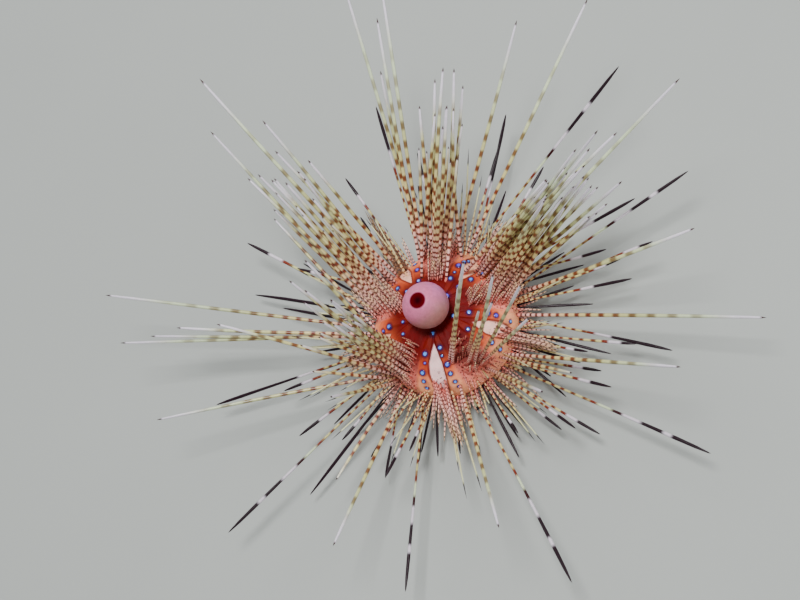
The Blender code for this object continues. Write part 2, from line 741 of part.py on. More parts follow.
def make_disc(material):
    """The apical disc: a low dome with a plug that reaches down into the shell."""
    edge = outline(outline_at(APICAL_RADIUS, False))[1]
    crown = TOP_HEIGHT + DISC_DOME
    profile = [
        (0, crown), (2.2, crown), (4.2, (crown + edge + DISC_DOME) / 2), (APICAL_RADIUS, edge),
        (CORE_RADIUS, CORE_TOP), (CORE_RADIUS, CORE_MIDDLE + JOINT_GAP / 2),
        (0, CORE_MIDDLE + JOINT_GAP / 2),
    ]
    return add_object("apical_disc", turned_mesh("apical_disc", profile, TURNED_STEPS), material)


def make_peristome(material):
    """The mouth's membrane, with a lip round the hollow that the teeth stand in."""
    edge = outline(outline_at(MOUTH_RADIUS, True))[1]
    profile = [
        (0, CORE_MIDDLE - JOINT_GAP / 2), (CORE_RADIUS, CORE_MIDDLE - JOINT_GAP / 2),
        (CORE_RADIUS, CORE_BOTTOM), (MOUTH_RADIUS, edge), (MOUTH_RADIUS - 1.1, edge + 0.5),
        (LIP_RADIUS + 0.6, edge + 0.3), (LIP_RADIUS, edge - 0.1), (MOUTH_HOLE_RADIUS, edge),
        (MOUTH_HOLE_RADIUS, edge + MOUTH_HOLE_DEPTH), (0, edge + MOUTH_HOLE_DEPTH),
    ]
    return add_object("peristome", turned_mesh("peristome", profile, TURNED_STEPS), material)


def make_tooth(number, material):
    """One tooth tip of the lantern, narrowing towards the mouth's middle."""
    azimuth = FIRST_FURROW + RAY_STEP * (number - 1)
    edge = outline(outline_at(MOUTH_RADIUS, True))[1]
    out, across = turn(azimuth), turn(azimuth + 90)
    rings = (
        (TOOTH_RING, 0.4, 0.42, edge + MOUTH_HOLE_DEPTH - JOINT_GAP),
        (TOOTH_RING - 0.1, 0.38, 0.35, edge),
        (TOOTH_TIP_RING, 0.14, 0.12, edge - TOOTH_DROP),
    )
    points = []
    for ring, wide, deep, height in rings:
        for x, y in ((-1, -1), (1, -1), (1, 1), (-1, 1)):
            spot = out * (ring + x * deep) + across * (y * wide)
            points.append((spot.x, spot.y, height))
    faces = [(0, 1, 2, 3), (8, 9, 10, 11)]
    for row in (0, 4):
        faces += [(row + i, row + (i + 1) % 4, row + 4 + (i + 1) % 4, row + 4 + i) for i in range(4)]
    name = f"tooth_{number}"
    return add_object(name, closed_mesh(name, points, faces), material)


def make_segment(kind, number, middle, half, spines, material):
    """One ambulacrum or interambulacrum with its spines."""
    name = f"{kind}_{number}"
    item = add_object(name, wedge_mesh(name, middle, half, SEGMENT_COLUMNS[kind]), material)
    fuse(item, [spine_mesh(spine) for spine in spines if spine.part == name])
    return item


def centre_on_floor(items):
    """Moves every mesh sideways so that the model's box stands over the origin."""
    corners = [vert.co for item in items for vert in item.data.vertices]
    shift = Vector((
        -(min(c.x for c in corners) + max(c.x for c in corners)) / 2,
        -(min(c.y for c in corners) + max(c.y for c in corners)) / 2, 0,
    ))
    for item in items:
        item.data.transform(Matrix.Translation(shift))


def main():
    for item in list(bpy.data.objects):
        bpy.data.objects.remove(item)
    coral = skin_material("coral_skin", (0.72, 0.16, 0.07), 0.5)
    banded = skin_material("banded_spines", (0.62, 0.32, 0.18), 0.45)
    sac = skin_material("sac_membrane", (0.62, 0.42, 0.46), 0.35)
    ivory = skin_material("tooth_ivory", (0.85, 0.8, 0.68), 0.4)
    spines = all_spines()
    items = [make_sac(sac), make_disc(coral), make_peristome(coral)]
    items += [make_tooth(number, ivory) for number in range(1, RAYS + 1)]
    for step in range(2 * RAYS):
        kind, number, middle, half = segment_at(FIRST_FURROW + RAY_STEP / 2 * step)
        items.append(make_segment(kind, number, middle, half, spines, banded))
    centre_on_floor(items)


main()
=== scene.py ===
import functools
import itertools
import math
import random
from collections import namedtuple

import bpy
import numpy as np
from bpy.props import FloatProperty, FloatVectorProperty, IntProperty, PointerProperty
from mathutils import Matrix, Vector


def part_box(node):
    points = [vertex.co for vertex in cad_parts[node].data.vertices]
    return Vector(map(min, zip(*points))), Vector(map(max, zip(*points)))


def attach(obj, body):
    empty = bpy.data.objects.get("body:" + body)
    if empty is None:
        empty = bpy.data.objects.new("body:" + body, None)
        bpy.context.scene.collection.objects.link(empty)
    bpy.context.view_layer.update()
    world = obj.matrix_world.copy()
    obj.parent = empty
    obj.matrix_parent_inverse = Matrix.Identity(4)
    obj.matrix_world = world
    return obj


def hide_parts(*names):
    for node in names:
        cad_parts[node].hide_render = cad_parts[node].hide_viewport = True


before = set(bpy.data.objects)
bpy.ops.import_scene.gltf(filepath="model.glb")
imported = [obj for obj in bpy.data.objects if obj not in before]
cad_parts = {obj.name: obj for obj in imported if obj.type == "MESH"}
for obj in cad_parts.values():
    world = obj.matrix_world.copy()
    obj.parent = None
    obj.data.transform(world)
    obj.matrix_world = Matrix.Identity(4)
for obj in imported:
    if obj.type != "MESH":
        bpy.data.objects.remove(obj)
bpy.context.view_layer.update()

bl_info = {
    "name": "Blue-spotted sea urchin",
    "version": (1, 0, 0),
    "blender": (4, 5, 0),
    "location": "3D View > Sidebar > Urchin",
    "description": "Dresses the packed sea urchin with skin, spots, banded spines, light and floor",
    "category": "Object",
}

MM = 0.001

# The shell's turned outline, in millimetres about its own upright axis
SHELL_RADIUS = 16.6
TOP_HEIGHT = 19.6
WAIST_HEIGHT = 10.0
UNDER_HEIGHT = 4.6
CROWN_POWER = 0.74
UNDER_WIDTH_POWER = 0.6
UNDER_DROP_POWER = 0.9
# How far to each side the outline's slope is read, and about how long one unit of t is
SLOPE_STEP = 0.01
T_LENGTH = 21
DISC_LOW, DISC_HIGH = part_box("apical_disc")
AXIS = Vector(((DISC_LOW.x + DISC_HIGH.x) / 2, (DISC_LOW.y + DISC_HIGH.y) / 2, 0))

RAYS = 5
RAY_STEP = 360 / RAYS
FIRST_FURROW = -133.0
FURROWS = [FIRST_FURROW + RAY_STEP * i for i in range(RAYS)]
AMBULACRA = [furrow + RAY_STEP / 2 for furrow in FURROWS]
SEGMENT_MIDDLES = [FIRST_FURROW + RAY_STEP / 2 * i for i in range(2 * RAYS)]
AMBULACRUM_HALF = 12.0
INTERAMBULACRUM_HALF = 24.0
SEGMENTS = [
    f"{kind}_{i}" for kind in ("ambulacrum", "interambulacrum") for i in range(1, RAYS + 1)
]

SAC_RADIUS = 5.05
SAC_CENTRE = Vector((-0.13, -0.42, TOP_HEIGHT + 5.25))
SAC_OPENING = Vector((-0.10, -0.06, 0.993)).normalized()
# How far the sac's foot is drawn down to the disc
SAC_FOOT = 1.1

# A spine's greatest radius by its kind, and the shares of it at its root and before its point
KINDS = {
    "fan": (0.42, 0.95, 0.78), "ringed": (0.42, 0.9, 0.92), "tipped": (0.42, 0.9, 0.92),
    "black": (0.42, 0.75, 0.9), "thin": (0.26, 1.0, 0.75), "row": (0.26, 1.0, 0.75),
    "fine": (0.22, 1.0, 0.75), "foot": (0.45, 1.0, 0.8),
    "streak": (0.16, 1.0, 0.75), "slender": (0.14, 1.0, 0.75),
}
LONG_KINDS = ("fan", "ringed", "tipped", "black")
EVEN_KINDS = ("row", "streak", "fine", "slender", "foot")
# A shorter spine of the other kinds is thinner, down to a share of that
SHORT_SHARE = 0.6
LONG_FROM = 36.0
NECK_AT = 0.88
SINK = 1.7
LEAST_TIP_HEIGHT = 0.9
ROOT_MARGIN = 0.3
CLEAR_OTHER_PART = 0.34
CLEAR_SAME_PART = 0.12
CLEAR_SAC = 0.9
CLEAR_STEP = 0.35
CLEAR_STEPS = 40
# Two spines whose middles lie apart by more than half of each and this aren't measured
CLEAR_BEYOND = 2
PARALLEL = 1e-9
NUDGE_TRIES = 60
NUDGE_DEGREES = 0.1
SHORT_TRIES = 8
# A root may move this far in t and this many times the tip's sway at each try, between these
ROOT_SHIFT = 0.006
ROOT_SWAY = 4.0
ROOT_OUTLINES = (0.3, 1.5)

# The camera, and where the shell's top shows in the picture that the spines were read in. The
# picture's own turn sets the shell's axis aslant in it
PICTURE_WIDTH = 800
PICTURE_HEIGHT = 600
LENS = 85.0
LENS_FRAME = 36.0
VIEW_RISE = 62.0
VIEW_ROLL = 45.5
VIEW_DISTANCE = 410.0
VIEW_CENTRE = (433.0, 311.7)
SIGHT_STEPS = 400
SIGHT_STEP = 0.1

# The spines that stand out, by the middle of the rows that they grow in: their kind, where each
# tip shows in the picture with its height over the floor, where the root shows, and for a tipped
# spine how much of it is black
IN_VIEW = {
    47: (
        ("fan", (343, -18, 56), (420, 246)), ("fan", (385, -15, 52), (422, 246)),
        ("fan", (435, 68, 46), (428, 262)), ("fan", (441, 78, 40), (434, 263)),
        ("fan", (454, 68, 44), (445, 259)), ("fan", (463, 85, 36), (449, 254)),
        ("fan", (443, 125, 52), (433, 268)), ("fan", (517, 20, 38), (458, 248)),
        ("fan", (588, -2, 42), (468, 249)), ("fan", (447, 105, 47), (439, 268)),
        ("fan", (437, 112, 40), (430, 257)), ("fan", (430, 150, 34), (425, 254)),
        ("fan", (452, 160, 36), (443, 258)), ("fan", (440, 150, 50), (437, 270)),
        ("thin", (470, 148, 28), (459, 240)), ("thin", (483, 175, 18), (464, 246)),
        ("tipped", (376, 106, 16), (414, 243), 0.3), ("tipped", (506, 114, 12), (481, 240), 0.48),
        ("black", (418, 185, 6), (424, 240)), ("black", (507, 190, 9), (479, 252)),
        ("black", (492, 226, 7), (476, 258)),
    ),
    11: (("ringed", (613, 62, 35), (471, 252)),),
    -25: (
        ("fan", (680, 78, 54), (496, 271)), ("fan", (598, 130, 63), (488, 272)),
        ("fan", (590, 148, 50), (492, 276)), ("fan", (620, 180, 44), (512, 279)),
        ("fan", (568, 172, 48), (485, 267)), ("fan", (590, 178, 42), (503, 280)),
        ("fan", (575, 150, 56), (487, 276)), ("fan", (548, 182, 52), (484, 274)),
        ("fan", (562, 196, 44), (496, 284)), ("fan", (602, 198, 34), (514, 283)),
        ("fan", (545, 200, 58), (488, 288)), ("fan", (695, 228, 35), (517, 294)),
        ("tipped", (630, 190, 21), (515, 285), 0.3), ("ringed", (688, 168, 17), (517, 288)),
        ("tipped", (651, 239, 17), (518, 291), 0.1), ("tipped", (633, 283, 13), (522, 299), 0.33),
        ("black", (565, 252, 8), (520, 284)), ("black", (574, 285, 7), (522, 297)),
        ("black", (594, 305, 6), (520, 303)),
    ),
    -61: (
        ("fan", (766, 318, 20), (516, 311)), ("fan", (681, 367, 32), (505, 354)),
        ("fan", (572, 373, 26), (500, 357)), ("tipped", (673, 354, 8), (521, 317), 0.4),
        ("tipped", (602, 371, 16), (510, 357), 0.2), ("tipped", (612, 386, 13), (512, 361), 0.2),
        ("black", (612, 354, 6), (523, 331)), ("black", (560, 346, 5), (530, 336)),
        ("thin", (548, 350, 9), (528, 338)),
    ),
    -97: (
        ("ringed", (712, 453, 10), (505, 366)), ("tipped", (600, 435, 7), (502, 371), 0.22),
        ("tipped", (562, 430, 6), (498, 380), 0.25), ("ringed", (572, 583, 17), (472, 393)),
        ("fan", (499, 528, 35), (460, 386)), ("fan", (469, 263, 62), (457, 362)),
        ("fan", (493, 274, 60), (474, 364)), ("fan", (521, 284, 57), (478, 362)),
        ("fan", (529, 318, 54), (484, 361)), ("fan", (543, 392, 40), (487, 368)),
        ("thin", (545, 445, 9), (494, 384)), ("black", (568, 396, 5), (524, 369)),
        ("black", (528, 431, 5), (490, 388)), ("black", (528, 420, 6), (496, 381)),
    ),
    -133: (
        ("thin", (482, 492, 21), (452, 392)), ("thin", (467, 500, 14), (449, 394)),
        ("ringed", (405, 592, 14), (422, 395)), ("black", (438, 457, 5), (437, 400)),
    ),
    -169: (
        ("fan", (333, 546, 28), (404, 391)), ("fan", (336, 480, 14), (396, 389)),
        ("fan", (330, 397, 46), (399, 382)), ("fan", (322, 322, 48), (402, 367)),
        ("fan", (340, 322, 55), (406, 363)), ("fan", (318, 337, 42), (399, 371)),
        ("fan", (330, 298, 60), (405, 359)), ("fan", (352, 316, 52), (408, 366)),
        ("fan", (300, 345, 40), (396, 375)), ("fan", (312, 372, 34), (394, 379)),
        ("ringed", (228, 533, 12), (376, 391)), ("tipped", (419, 462, 7), (420, 398), 0.5),
        ("tipped", (385, 478, 6), (402, 393), 0.35), ("black", (312, 497, 5), (380, 392)),
    ),
    155: (
        ("fan", (157, 423, 24), (388, 380)), ("fan", (217, 323, 39), (388, 376)),
        ("thin", (312, 402, 12), (356, 372)), ("thin", (298, 401, 18), (354, 368)),
        ("tipped", (216, 405, 8), (351, 358), 0.52), ("black", (313, 373, 6), (354, 358)),
    ),
    119: (
        ("fan", (211, 131, 44), (374, 316)), ("fan", (203, 75, 57), (381, 288)),
        ("fan", (264, 120, 58), (386, 282)), ("fan", (280, 214, 24), (376, 312)),
        ("fan", (285, 182, 46), (384, 298)), ("fan", (275, 192, 36), (379, 303)),
        ("fan", (274, 208, 30), (377, 310)), ("fan", (302, 178, 50), (387, 292)),
        ("fan", (295, 205, 42), (382, 302)), ("fan", (312, 198, 48), (390, 288)),
        ("fan", (105, 295, 28), (365, 328)), ("fan", (120, 343, 24), (358, 335)),
        ("tipped", (250, 244, 10), (361, 304), 0.18), ("black", (255, 293, 5), (362, 306)),
        ("black", (282, 312, 7), (353, 318)), ("black", (305, 260, 12), (372, 308)),
    ),
    83: (("thin", (370, 211, 21), (404, 272)), ("thin", (385, 235, 24), (406, 274))),
}
# Spines that fill the fans, each between two of those above that stand close together
FAN_FILLS = {47: 12, -25: 24, -97: 3, -169: 6, 119: 20}
FILL_SPREAD = 15.0
FILL_APART = 9.0
FILL_SWAY = 0.02
FILL_TURN = 4.0
FILL_SHIFT = (-0.09, 0.06)
FILL_LENGTHS = (0.6, 1.0)
FILL_OUTLINES = (0.3, 1.1)
# Low spines on every segment: rises, lengths, how many and their kind
LOW_FILLS = (
    ((-4, 14), (14, 27), 2, "tipped"),
    ((-16, -2), (9, 18), 2, "black"),
    ((0, 30), (8, 20), 5, "thin"),
)
LOW_SPREAD = 18.0
LOW_MARKS = (0.12, 0.3)
LOW_SWAY = 2.0
LOW_SQUEEZE = 0.85
# Rows of small spines on each ambulacrum, longer down the shell, and the share of that length
# that they have on each
ROW_OUTLINES = (0.36, 0.48, 0.6, 0.72)
ROW_OFFSETS = (-9.5, -3.2, 3.2, 9.5)
ROW_SHARES = {47: 1.0, -25: 1.0, -97: 0.45, -169: 0.6, 119: 1.0}
ROW_LENGTH = (3.0, 9.0)
ROW_RANGE = (0.7, 1.2)
ROW_TURN = 0.7
ROW_SHIFT = 0.012
ROW_SWAY = 0.05
# A tuft below each furrow's bare leaf, wider down the shell
TUFT_SPINES = 6
TUFT_OUTLINES = (0.72, 1.0)
TUFT_HALVES = (4.0, 8.0)
TUFT_LENGTHS = (4.5, 9.5)
TUFT_RISE = 0.35
# Short spines about the waist
SHORT_FILLS = 8
SHORT_LENGTHS = (5.0, 11.0)
SHORT_OUTLINE = (0.9, 1.5)
SHORT_LEAN = 0.45
SHORT_SWAY = 0.3
UNDER_SHORT = 1.3
UNDER_SHORT_SHARE = 0.5

# The feet: under spines whose flat ends meet the floor
FOOT_OUTLINE = 1.42
FOOT_OFFSETS = (-13.0, 13.0)
FOOT_REACH = 2.6

# Where a low spine grows, by its rise over the waist
LEVEL_OUTLINE = 1.05
OUTLINE_PER_DEGREE = 0.0086
UNDER_OUTLINE_PER_DEGREE = 0.012
HIGHEST_ROOT = 0.36
LOWEST_ROOT = 1.4
# The bare fork of each furrow, with no roots of low spines on it above this outline
BARE_END = 0.86
BARE_HALF = 18.0

# Spines that are too fine for the solids: more of the rows, by outlines and offsets, and a tuft
# below each furrow's leaf that leans aside
FINE_ROW_OUTLINES = (0.32, 0.86, 9)
FINE_ROW_OFFSETS = (-13.0, 13.0, 8)
FINE_ROW_SHARE = 0.75
FINE_ROW_SPREAD = (0.7, 0.36)
TUFT_LEANS = (26.0, -6.0, 0.0, -10.0, 0.0)
TUFT_KINDS = ("fine", "fine", "fine", "thin", "fine")
TUFT_SHARES = (1.25, 1.1, 0.9, 1.35, 0.8)
# From the top of such a tuft to its foot: place on the outline, half width and share of length
LEAF_TUFT_OUTLINES = (0.7, 1.02)
LEAF_TUFT_HALVES = (6, 3)
LEAF_TUFT_SHORTENING = (1.3, 0.9)
LEAF_TUFT_DRIFT = 2.5
LEAF_TUFT_SPLAY = 1.2
LEAF_TUFT_LENGTHS = (5, 11)
SLENDER_RISE = (0.1, 0.5)
SLENDER_LEAN = 0.5
SLENDER_SWAY = 0.4
SLENDER_OUTLINES = (0.88, 1.62)
SLENDER_LENGTHS = (4.0, 10.0)
UNDER_OUTLINES = (1.1, 1.8, 9)
UNDER_LEAST_RADIUS = 6.5
UNDER_DOWN = 0.7
UNDER_LENGTHS = (2.6, 5.0)

# More spines in the left sheaf: where the tip shows, with its height, and where the root shows
NEAR_SHEAF = (
    ((300, 264, 50), (402, 362)), ((308, 272, 52), (406, 366)), ((316, 280, 54), (410, 370)),
    ((325, 290, 52), (413, 375)), ((310, 288, 48), (404, 370)), ((330, 298, 50), (408, 376)),
    ((338, 306, 54), (414, 380)), ((296, 280, 46), (398, 366)), ((306, 300, 44), (402, 376)),
    ((336, 314, 50), (408, 380)), ((320, 304, 46), (400, 372)),
)
NEAR_SHEAF_TRIES = 60
NEAR_SHEAF_SWAY = 5.0
NEAR_SHEAF_SHIFT = 0.06
NEAR_SHEAF_TIP_SHIFT = 2.5
NEAR_SHEAF_APART = 0.6

# The seeds of the draws
PLACE_SEED = 7
TONE_SEED = 5
SHEAF_SEED = 19
ROW_SEED = 13
SLENDER_SEED = 11
UNDER_SEED = 17
SPOT_SEED = 3

# How each kind of spine is drawn out: its sides, how deep its root is sunk, how far it bows, the
# seed of its draws, and the share of its length and of its radius at each ring
RINGED_MODEL = (7, 0.8, 0.006, 40, (
    (0.0, 0.65), (0.025, 0.85), (0.045, 0.62), (0.25, 0.62), (0.5, 0.66), (0.7, 0.84), (0.84, 1.0),
    (0.93, 0.82), (0.985, 0.4), (1.0, 0.12),
))
MODELS = {
    "fan": (7, 0.9, 0.006, 20, (
        (0.0, 0.75), (0.02, 1.05), (0.035, 0.8), (0.16, 0.88), (0.3, 0.97), (0.45, 1.0),
        (0.6, 0.97), (0.75, 0.88), (0.9, 0.74), (0.98, 0.5), (1.0, 0.22),
    )),
    "row": (6, 0.6, 0.006, 30, (
        (0.0, 0.9), (0.06, 1.15), (0.1, 0.95), (0.5, 0.9), (0.85, 0.7), (1.0, 0.25),
    )),
    "ringed": RINGED_MODEL,
    "tipped": RINGED_MODEL,
    "black": (7, 0.8, 0.006, 40, (
        (0.0, 0.5), (0.06, 0.64), (0.09, 0.54), (0.3, 0.7), (0.55, 1.0), (0.75, 0.98),
        (0.9, 0.7), (0.98, 0.35), (1.0, 0.12),
    )),
    "thin": (6, 0.8, 0.006, 40, (
        (0.0, 1.0), (0.05, 1.2), (0.08, 1.0), (0.5, 0.95), (0.85, 0.7), (1.0, 0.15),
    )),
    "foot": (10, 0.8, 0.0, 41, (
        (0.0, 1.0), (0.2, 1.15), (0.3, 1.0), (0.6, 0.94), (0.85, 0.9), (0.97, 1.0), (1.0, 0.96),
    )),
    "fine": (5, 0.6, 0.01, 60, (
        (0.0, 1.0), (0.1, 1.25), (0.16, 1.0), (0.5, 0.95), (0.85, 0.7), (1.0, 0.2),
    )),
}
GIRTH_RANGE = (0.94, 1.06)
# How black a wholly black spine is marked, past its whole length, and how soft a band's edge is
ALL_BLACK = 1.2
BAND_SOFTNESS = 0.7
# The map of a small spine is a patch of this size at its root's place on the skin's own map, and
# that of a longer one is a strip, with room beside it and at its ends
PATCH_SIZE = 0.003
PATCH_ROOM = 0.99
PATCH_STEPS = 801
STRIP_SIDE = 0.1
STRIP_END = 0.01
MOST_AROUND = 1.2

# Where the pale leaf of each furrow starts, half its width in degrees, and how that changes from
# its start to the waist
LEAF_STARTS = (0.27, 0.36, 0.36, 0.4, 0.46)
LEAF_HALVES = (7.2, 6.5, 7.5, 5.0, 5.0)
LEAF_STATIONS = (0, 0.11, 0.27, 0.43, 0.6, 0.78, 1.0)
LEAF_WIDTHS = (0, 0.55, 1, 1, 0.8, 0.5, 0.25)
LEAF_SWEEP = 2.5
# How olive the tuft below each leaf is, and how creamy the leaf
TUFT_OLIVES = (0.0, 0.35, 0.2, 1.0, 0.2)
LEAF_CREAMS = (0.0, 0.4, 0.8, 0.6, 0.8)
# The inner and outer edges of the spotted arms beside a leaf, in degrees, down the outline
ARM_STATIONS = (0.15, 0.3, 0.45, 0.9)
ARM_INNER = (0, 4, 8, 8.5)
ARM_OUTER = (9, 16, 18.5, 19)
# The two ambulacra whose short spines leave the dark skin bare
DARK_ROWS = (-97.0, -169.0)
# Grooves between the rows of spines and lumps all over: waves round and down, and depth in metres
GROOVE_WAVES, GROOVE_DEPTH = (15, 9), 0.00006
LUMP_WAVES, LUMP_RISE = (21, 40), 0.00004
DISC_SINK = 0.25
SKIN_SEGMENTS = 400
SKIN_RINGS = 196
# The mouth: where the skin goes in round the teeth, and the lip there, in millimetres
UNDER_FROM = 1.5
MOUTH_EDGE = (2.1, 1.7)
MOUTH_RISE = 1.1
LIP_RADIUS = 2.4
LIP_WIDTH = 0.45
LIP_DROP = 0.28
# Screen colours of small markings
SPOT_HALO = (70, 10, 40)
DARK_PATCH = (120, 12, 8)
LEAF_DOT = (84, 14, 18)
SAC_VIOLET = (176, 120, 200)
TOOTH_ROOT = (214, 196, 160)
TOOTH_TIP = (244, 238, 222)

SPOT_SIDES = 16
SPOT_MODEL = ((-2.5, 1.0), (0.0, 1.0), (0.45, 0.88), (0.8, 0.68), (0.97, 0.42), (1.0, 0.16))
# Blue spots by furrow: how far aside of its middle in degrees, t on the outline and size
SPOTS = (
    ((-1, 0.19, 1.0), (-13, 0.38, 1.1), (-12, 0.47, 0.6), (-14, 0.58, 1.15), (-13, 0.69, 0.85),
     (-11, 0.79, 0.8), (10, 0.33, 1.0), (10, 0.41, 0.6), (13, 0.51, 1.1), (13, 0.62, 0.95),
     (14, 0.74, 0.85), (15, 0.83, 0.75)),
    ((2, 0.19, 1.05), (13, 0.32, 1.0), (14, 0.5, 1.15), (13, 0.6, 1.0), (11, 0.81, 0.8),
     (-12, 0.65, 1.0), (-13, 0.8, 0.95), (-12, 0.36, 0.9), (-13, 0.5, 1.0)),
    ((-5, 0.18, 1.05), (11, 0.34, 1.0), (11, 0.42, 0.6), (12, 0.52, 1.15), (10, 0.6, 0.9),
     (8, 0.66, 0.75), (-9, 0.31, 0.9), (-12, 0.45, 1.0), (-13, 0.6, 0.95), (-12, 0.74, 0.8)),
    ((0, 0.19, 1.0), (-10, 0.36, 0.9), (-13, 0.52, 1.0), (16, 0.49, 1.0), (13, 0.35, 0.9),
     (-12, 0.66, 0.9), (14, 0.63, 0.9), (-11, 0.78, 0.75), (12, 0.77, 0.8)),
    ((0, 0.18, 0.95), (-7, 0.29, 0.7), (-9, 0.46, 1.15), (-8, 0.56, 0.8), (12, 0.33, 0.7),
     (14, 0.47, 0.9), (13, 0.6, 0.9), (-11, 0.7, 0.85), (12, 0.73, 0.8)),
)

# A tooth's form, how far its root and tip stand off the axis, its half widths and its curve
TOOTH_SIDES = 8
TOOTH_MODEL = (
    (-0.9, 0.9), (-0.4, 1.0), (0.0, 0.95), (0.35, 0.8), (0.7, 0.55), (0.92, 0.3), (1.0, 0.12),
)
TOOTH_REACHES = (1.1, 0.55)
TOOTH_HALVES = (0.4, 0.26)
TOOTH_CURVE = 0.16

# The lamps' places from the shell's top, in metres: for the key and the fill towards the camera,
# to its right and upwards, and for the rim along the model's own axes. Then their sizes
KEY_PLACE, KEY_SIZE = Vector((0.55, -0.12, 0.2)), 0.12
FILL_PLACE, FILL_SIZE = Vector((0.4, 0.45, -0.1)), 0.3
RIM_PLACE, RIM_SIZE = Vector((0.1, 0.5, 0.42)), 0.3
ROOM_COLOUR = (0.93, 0.96, 1, 1)
FLOOR_SIZE = 6
CLIP_RANGE = (0.01, 20)

Spine = namedtuple("Spine", "root tip kind part mark tone", defaults=(0.0, 0.5))
WAIST_CENTRE = Vector((0, 0, WAIST_HEIGHT))


# Places on the shell and where the spines stand

def turn(angle):
    """The level unit vector at an angle in degrees, from +X towards +Y."""
    return Vector((math.cos(math.radians(angle)), math.sin(math.radians(angle)), 0.0))


def aim(azimuth, rise):
    """The unit vector at an azimuth and a rise over the level, in degrees."""
    angle = math.radians(rise)
    return turn(azimuth) * math.cos(angle) + Vector((0, 0, math.sin(angle)))


def turned_by(angle, start):
    """How far an angle lies from another, from -180 to 180 degrees."""
    return (angle - start + 180) % 360 - 180


def azimuth_of(point):
    """The azimuth of a point about the shell's axis, in degrees."""
    return math.degrees(math.atan2(point[1], point[0]))


def rise_of(reach):
    """The rise of a reach over the level, in degrees."""
    return math.degrees(math.atan2(reach.z, math.hypot(reach.x, reach.y)))


def outline(t):
    """Radius and height of the shell: t is 0 on top, 1 at the waist and 2 under the middle."""
    if t <= 1:
        angle = t * math.pi / 2
        rise = TOP_HEIGHT - WAIST_HEIGHT
        return SHELL_RADIUS * math.sin(angle), WAIST_HEIGHT + rise * math.cos(angle) ** CROWN_POWER
    angle = min(t - 1, 1) * math.pi / 2
    drop = WAIST_HEIGHT - UNDER_HEIGHT
    radius = SHELL_RADIUS * max(math.cos(angle), 0) ** UNDER_WIDTH_POWER
    return radius, WAIST_HEIGHT - drop * math.sin(angle) ** UNDER_DROP_POWER


def outlines(t):
    """The outline for an array of t."""
    pairs = np.array([outline(each) for each in np.ravel(t)])
    return pairs[:, 0].reshape(np.shape(t)), pairs[:, 1].reshape(np.shape(t))


def part_way(ends, share):
    """The value at a share of the way from one to another."""
    return ends[0] + (ends[1] - ends[0]) * share


OUTLINE_STEPS = np.linspace(0, 2, 161)
OUTLINE_LINE = np.array([outline(t) for t in OUTLINE_STEPS])
OUTLINE_RUNS = np.diff(OUTLINE_LINE, axis=0)


def place_of(point):
    """Azimuth and nearest t of a point near the shell, and how far out it lies, below 0 inside."""
    spot = np.array([math.hypot(point[0], point[1]), point[2]])
    away = spot - OUTLINE_LINE[:-1]
    share = np.clip((away * OUTLINE_RUNS).sum(axis=1) / (OUTLINE_RUNS ** 2).sum(axis=1), 0, 1)
    off = away - OUTLINE_RUNS * share[:, None]
    far = np.hypot(off[:, 0], off[:, 1])
    best = int(np.argmin(far))
    run, drop = OUTLINE_RUNS[best]
    outside = off[best][1] * run - off[best][0] * drop >= 0
    t = OUTLINE_STEPS[best] + float(share[best]) * OUTLINE_STEPS[1]
    return azimuth_of(point), float(t), float(far[best]) * (1 if outside else -1)


def surface(azimuth, t):
    """The point of the shell at an azimuth and a t, and its outward normal."""
    radius, height = outline(t)
    before, after = outline(max(t - SLOPE_STEP, 0)), outline(min(t + SLOPE_STEP, 2))
    run, drop = after[0] - before[0], before[1] - after[1]
    normal = turn(azimuth) * drop + Vector((0, 0, run))
    return turn(azimuth) * radius + Vector((0, 0, height)), normal.normalized()


def view_axes():
    """The camera's own axes: back towards it, to its right and upwards."""
    rise, roll = math.radians(VIEW_RISE), math.radians(VIEW_ROLL)
    back = Vector((0, -math.cos(rise), math.sin(rise)))
    right, up = Vector((1, 0, 0)), Vector((0, math.sin(rise), math.cos(rise)))
    across = right * math.cos(roll) - up * math.sin(roll)
    return back, across, right * math.sin(roll) + up * math.cos(roll)


def sight(x, y):
    """The eye and the way from it through a place in the picture."""
    back, across, upward = view_axes()
    pixels = PICTURE_WIDTH / LENS_FRAME * LENS
    way = across * ((x - VIEW_CENTRE[0]) / pixels) - upward * ((y - VIEW_CENTRE[1]) / pixels) - back
    return Vector((0, 0, TOP_HEIGHT)) + back * VIEW_DISTANCE, way


def tip_in_view(x, y, height):
    """The point at a height over the floor that shows at a place in the picture."""
    eye, way = sight(x, y)
    return eye + way * ((height - eye.z) / way.z)


def root_in_view(x, y):
    """Azimuth and t of the shell where it shows in the picture, or of the place nearest to that."""
    eye, way = sight(x, y)
    start = VIEW_DISTANCE - SHELL_RADIUS
    near_rim = None
    for number in range(SIGHT_STEPS):
        azimuth, t, gap = place_of(eye + way * (start + number * SIGHT_STEP))
        if near_rim is None or gap < near_rim[2]:
            near_rim = azimuth, t, gap
        if gap <= 0:
            break
    return near_rim[:2]


def segment_at(azimuth):
    """The kind, number, middle and half width of the segment at an azimuth."""
    for number, (furrow, middle) in enumerate(zip(FURROWS, AMBULACRA), start=1):
        if abs(turned_by(azimuth, furrow)) <= INTERAMBULACRUM_HALF:
            return "interambulacrum", number, furrow, INTERAMBULACRUM_HALF
        if abs(turned_by(azimuth, middle)) <= AMBULACRUM_HALF:
            return "ambulacrum", number, middle, AMBULACRUM_HALF
    raise ValueError(f"no segment at {azimuth}")


def girth(kind, length):
    """The greatest radius of a spine."""
    if kind in EVEN_KINDS:
        return KINDS[kind][0]
    return KINDS[kind][0] * (SHORT_SHARE + (1 - SHORT_SHARE) * min(length / LONG_FROM, 1))


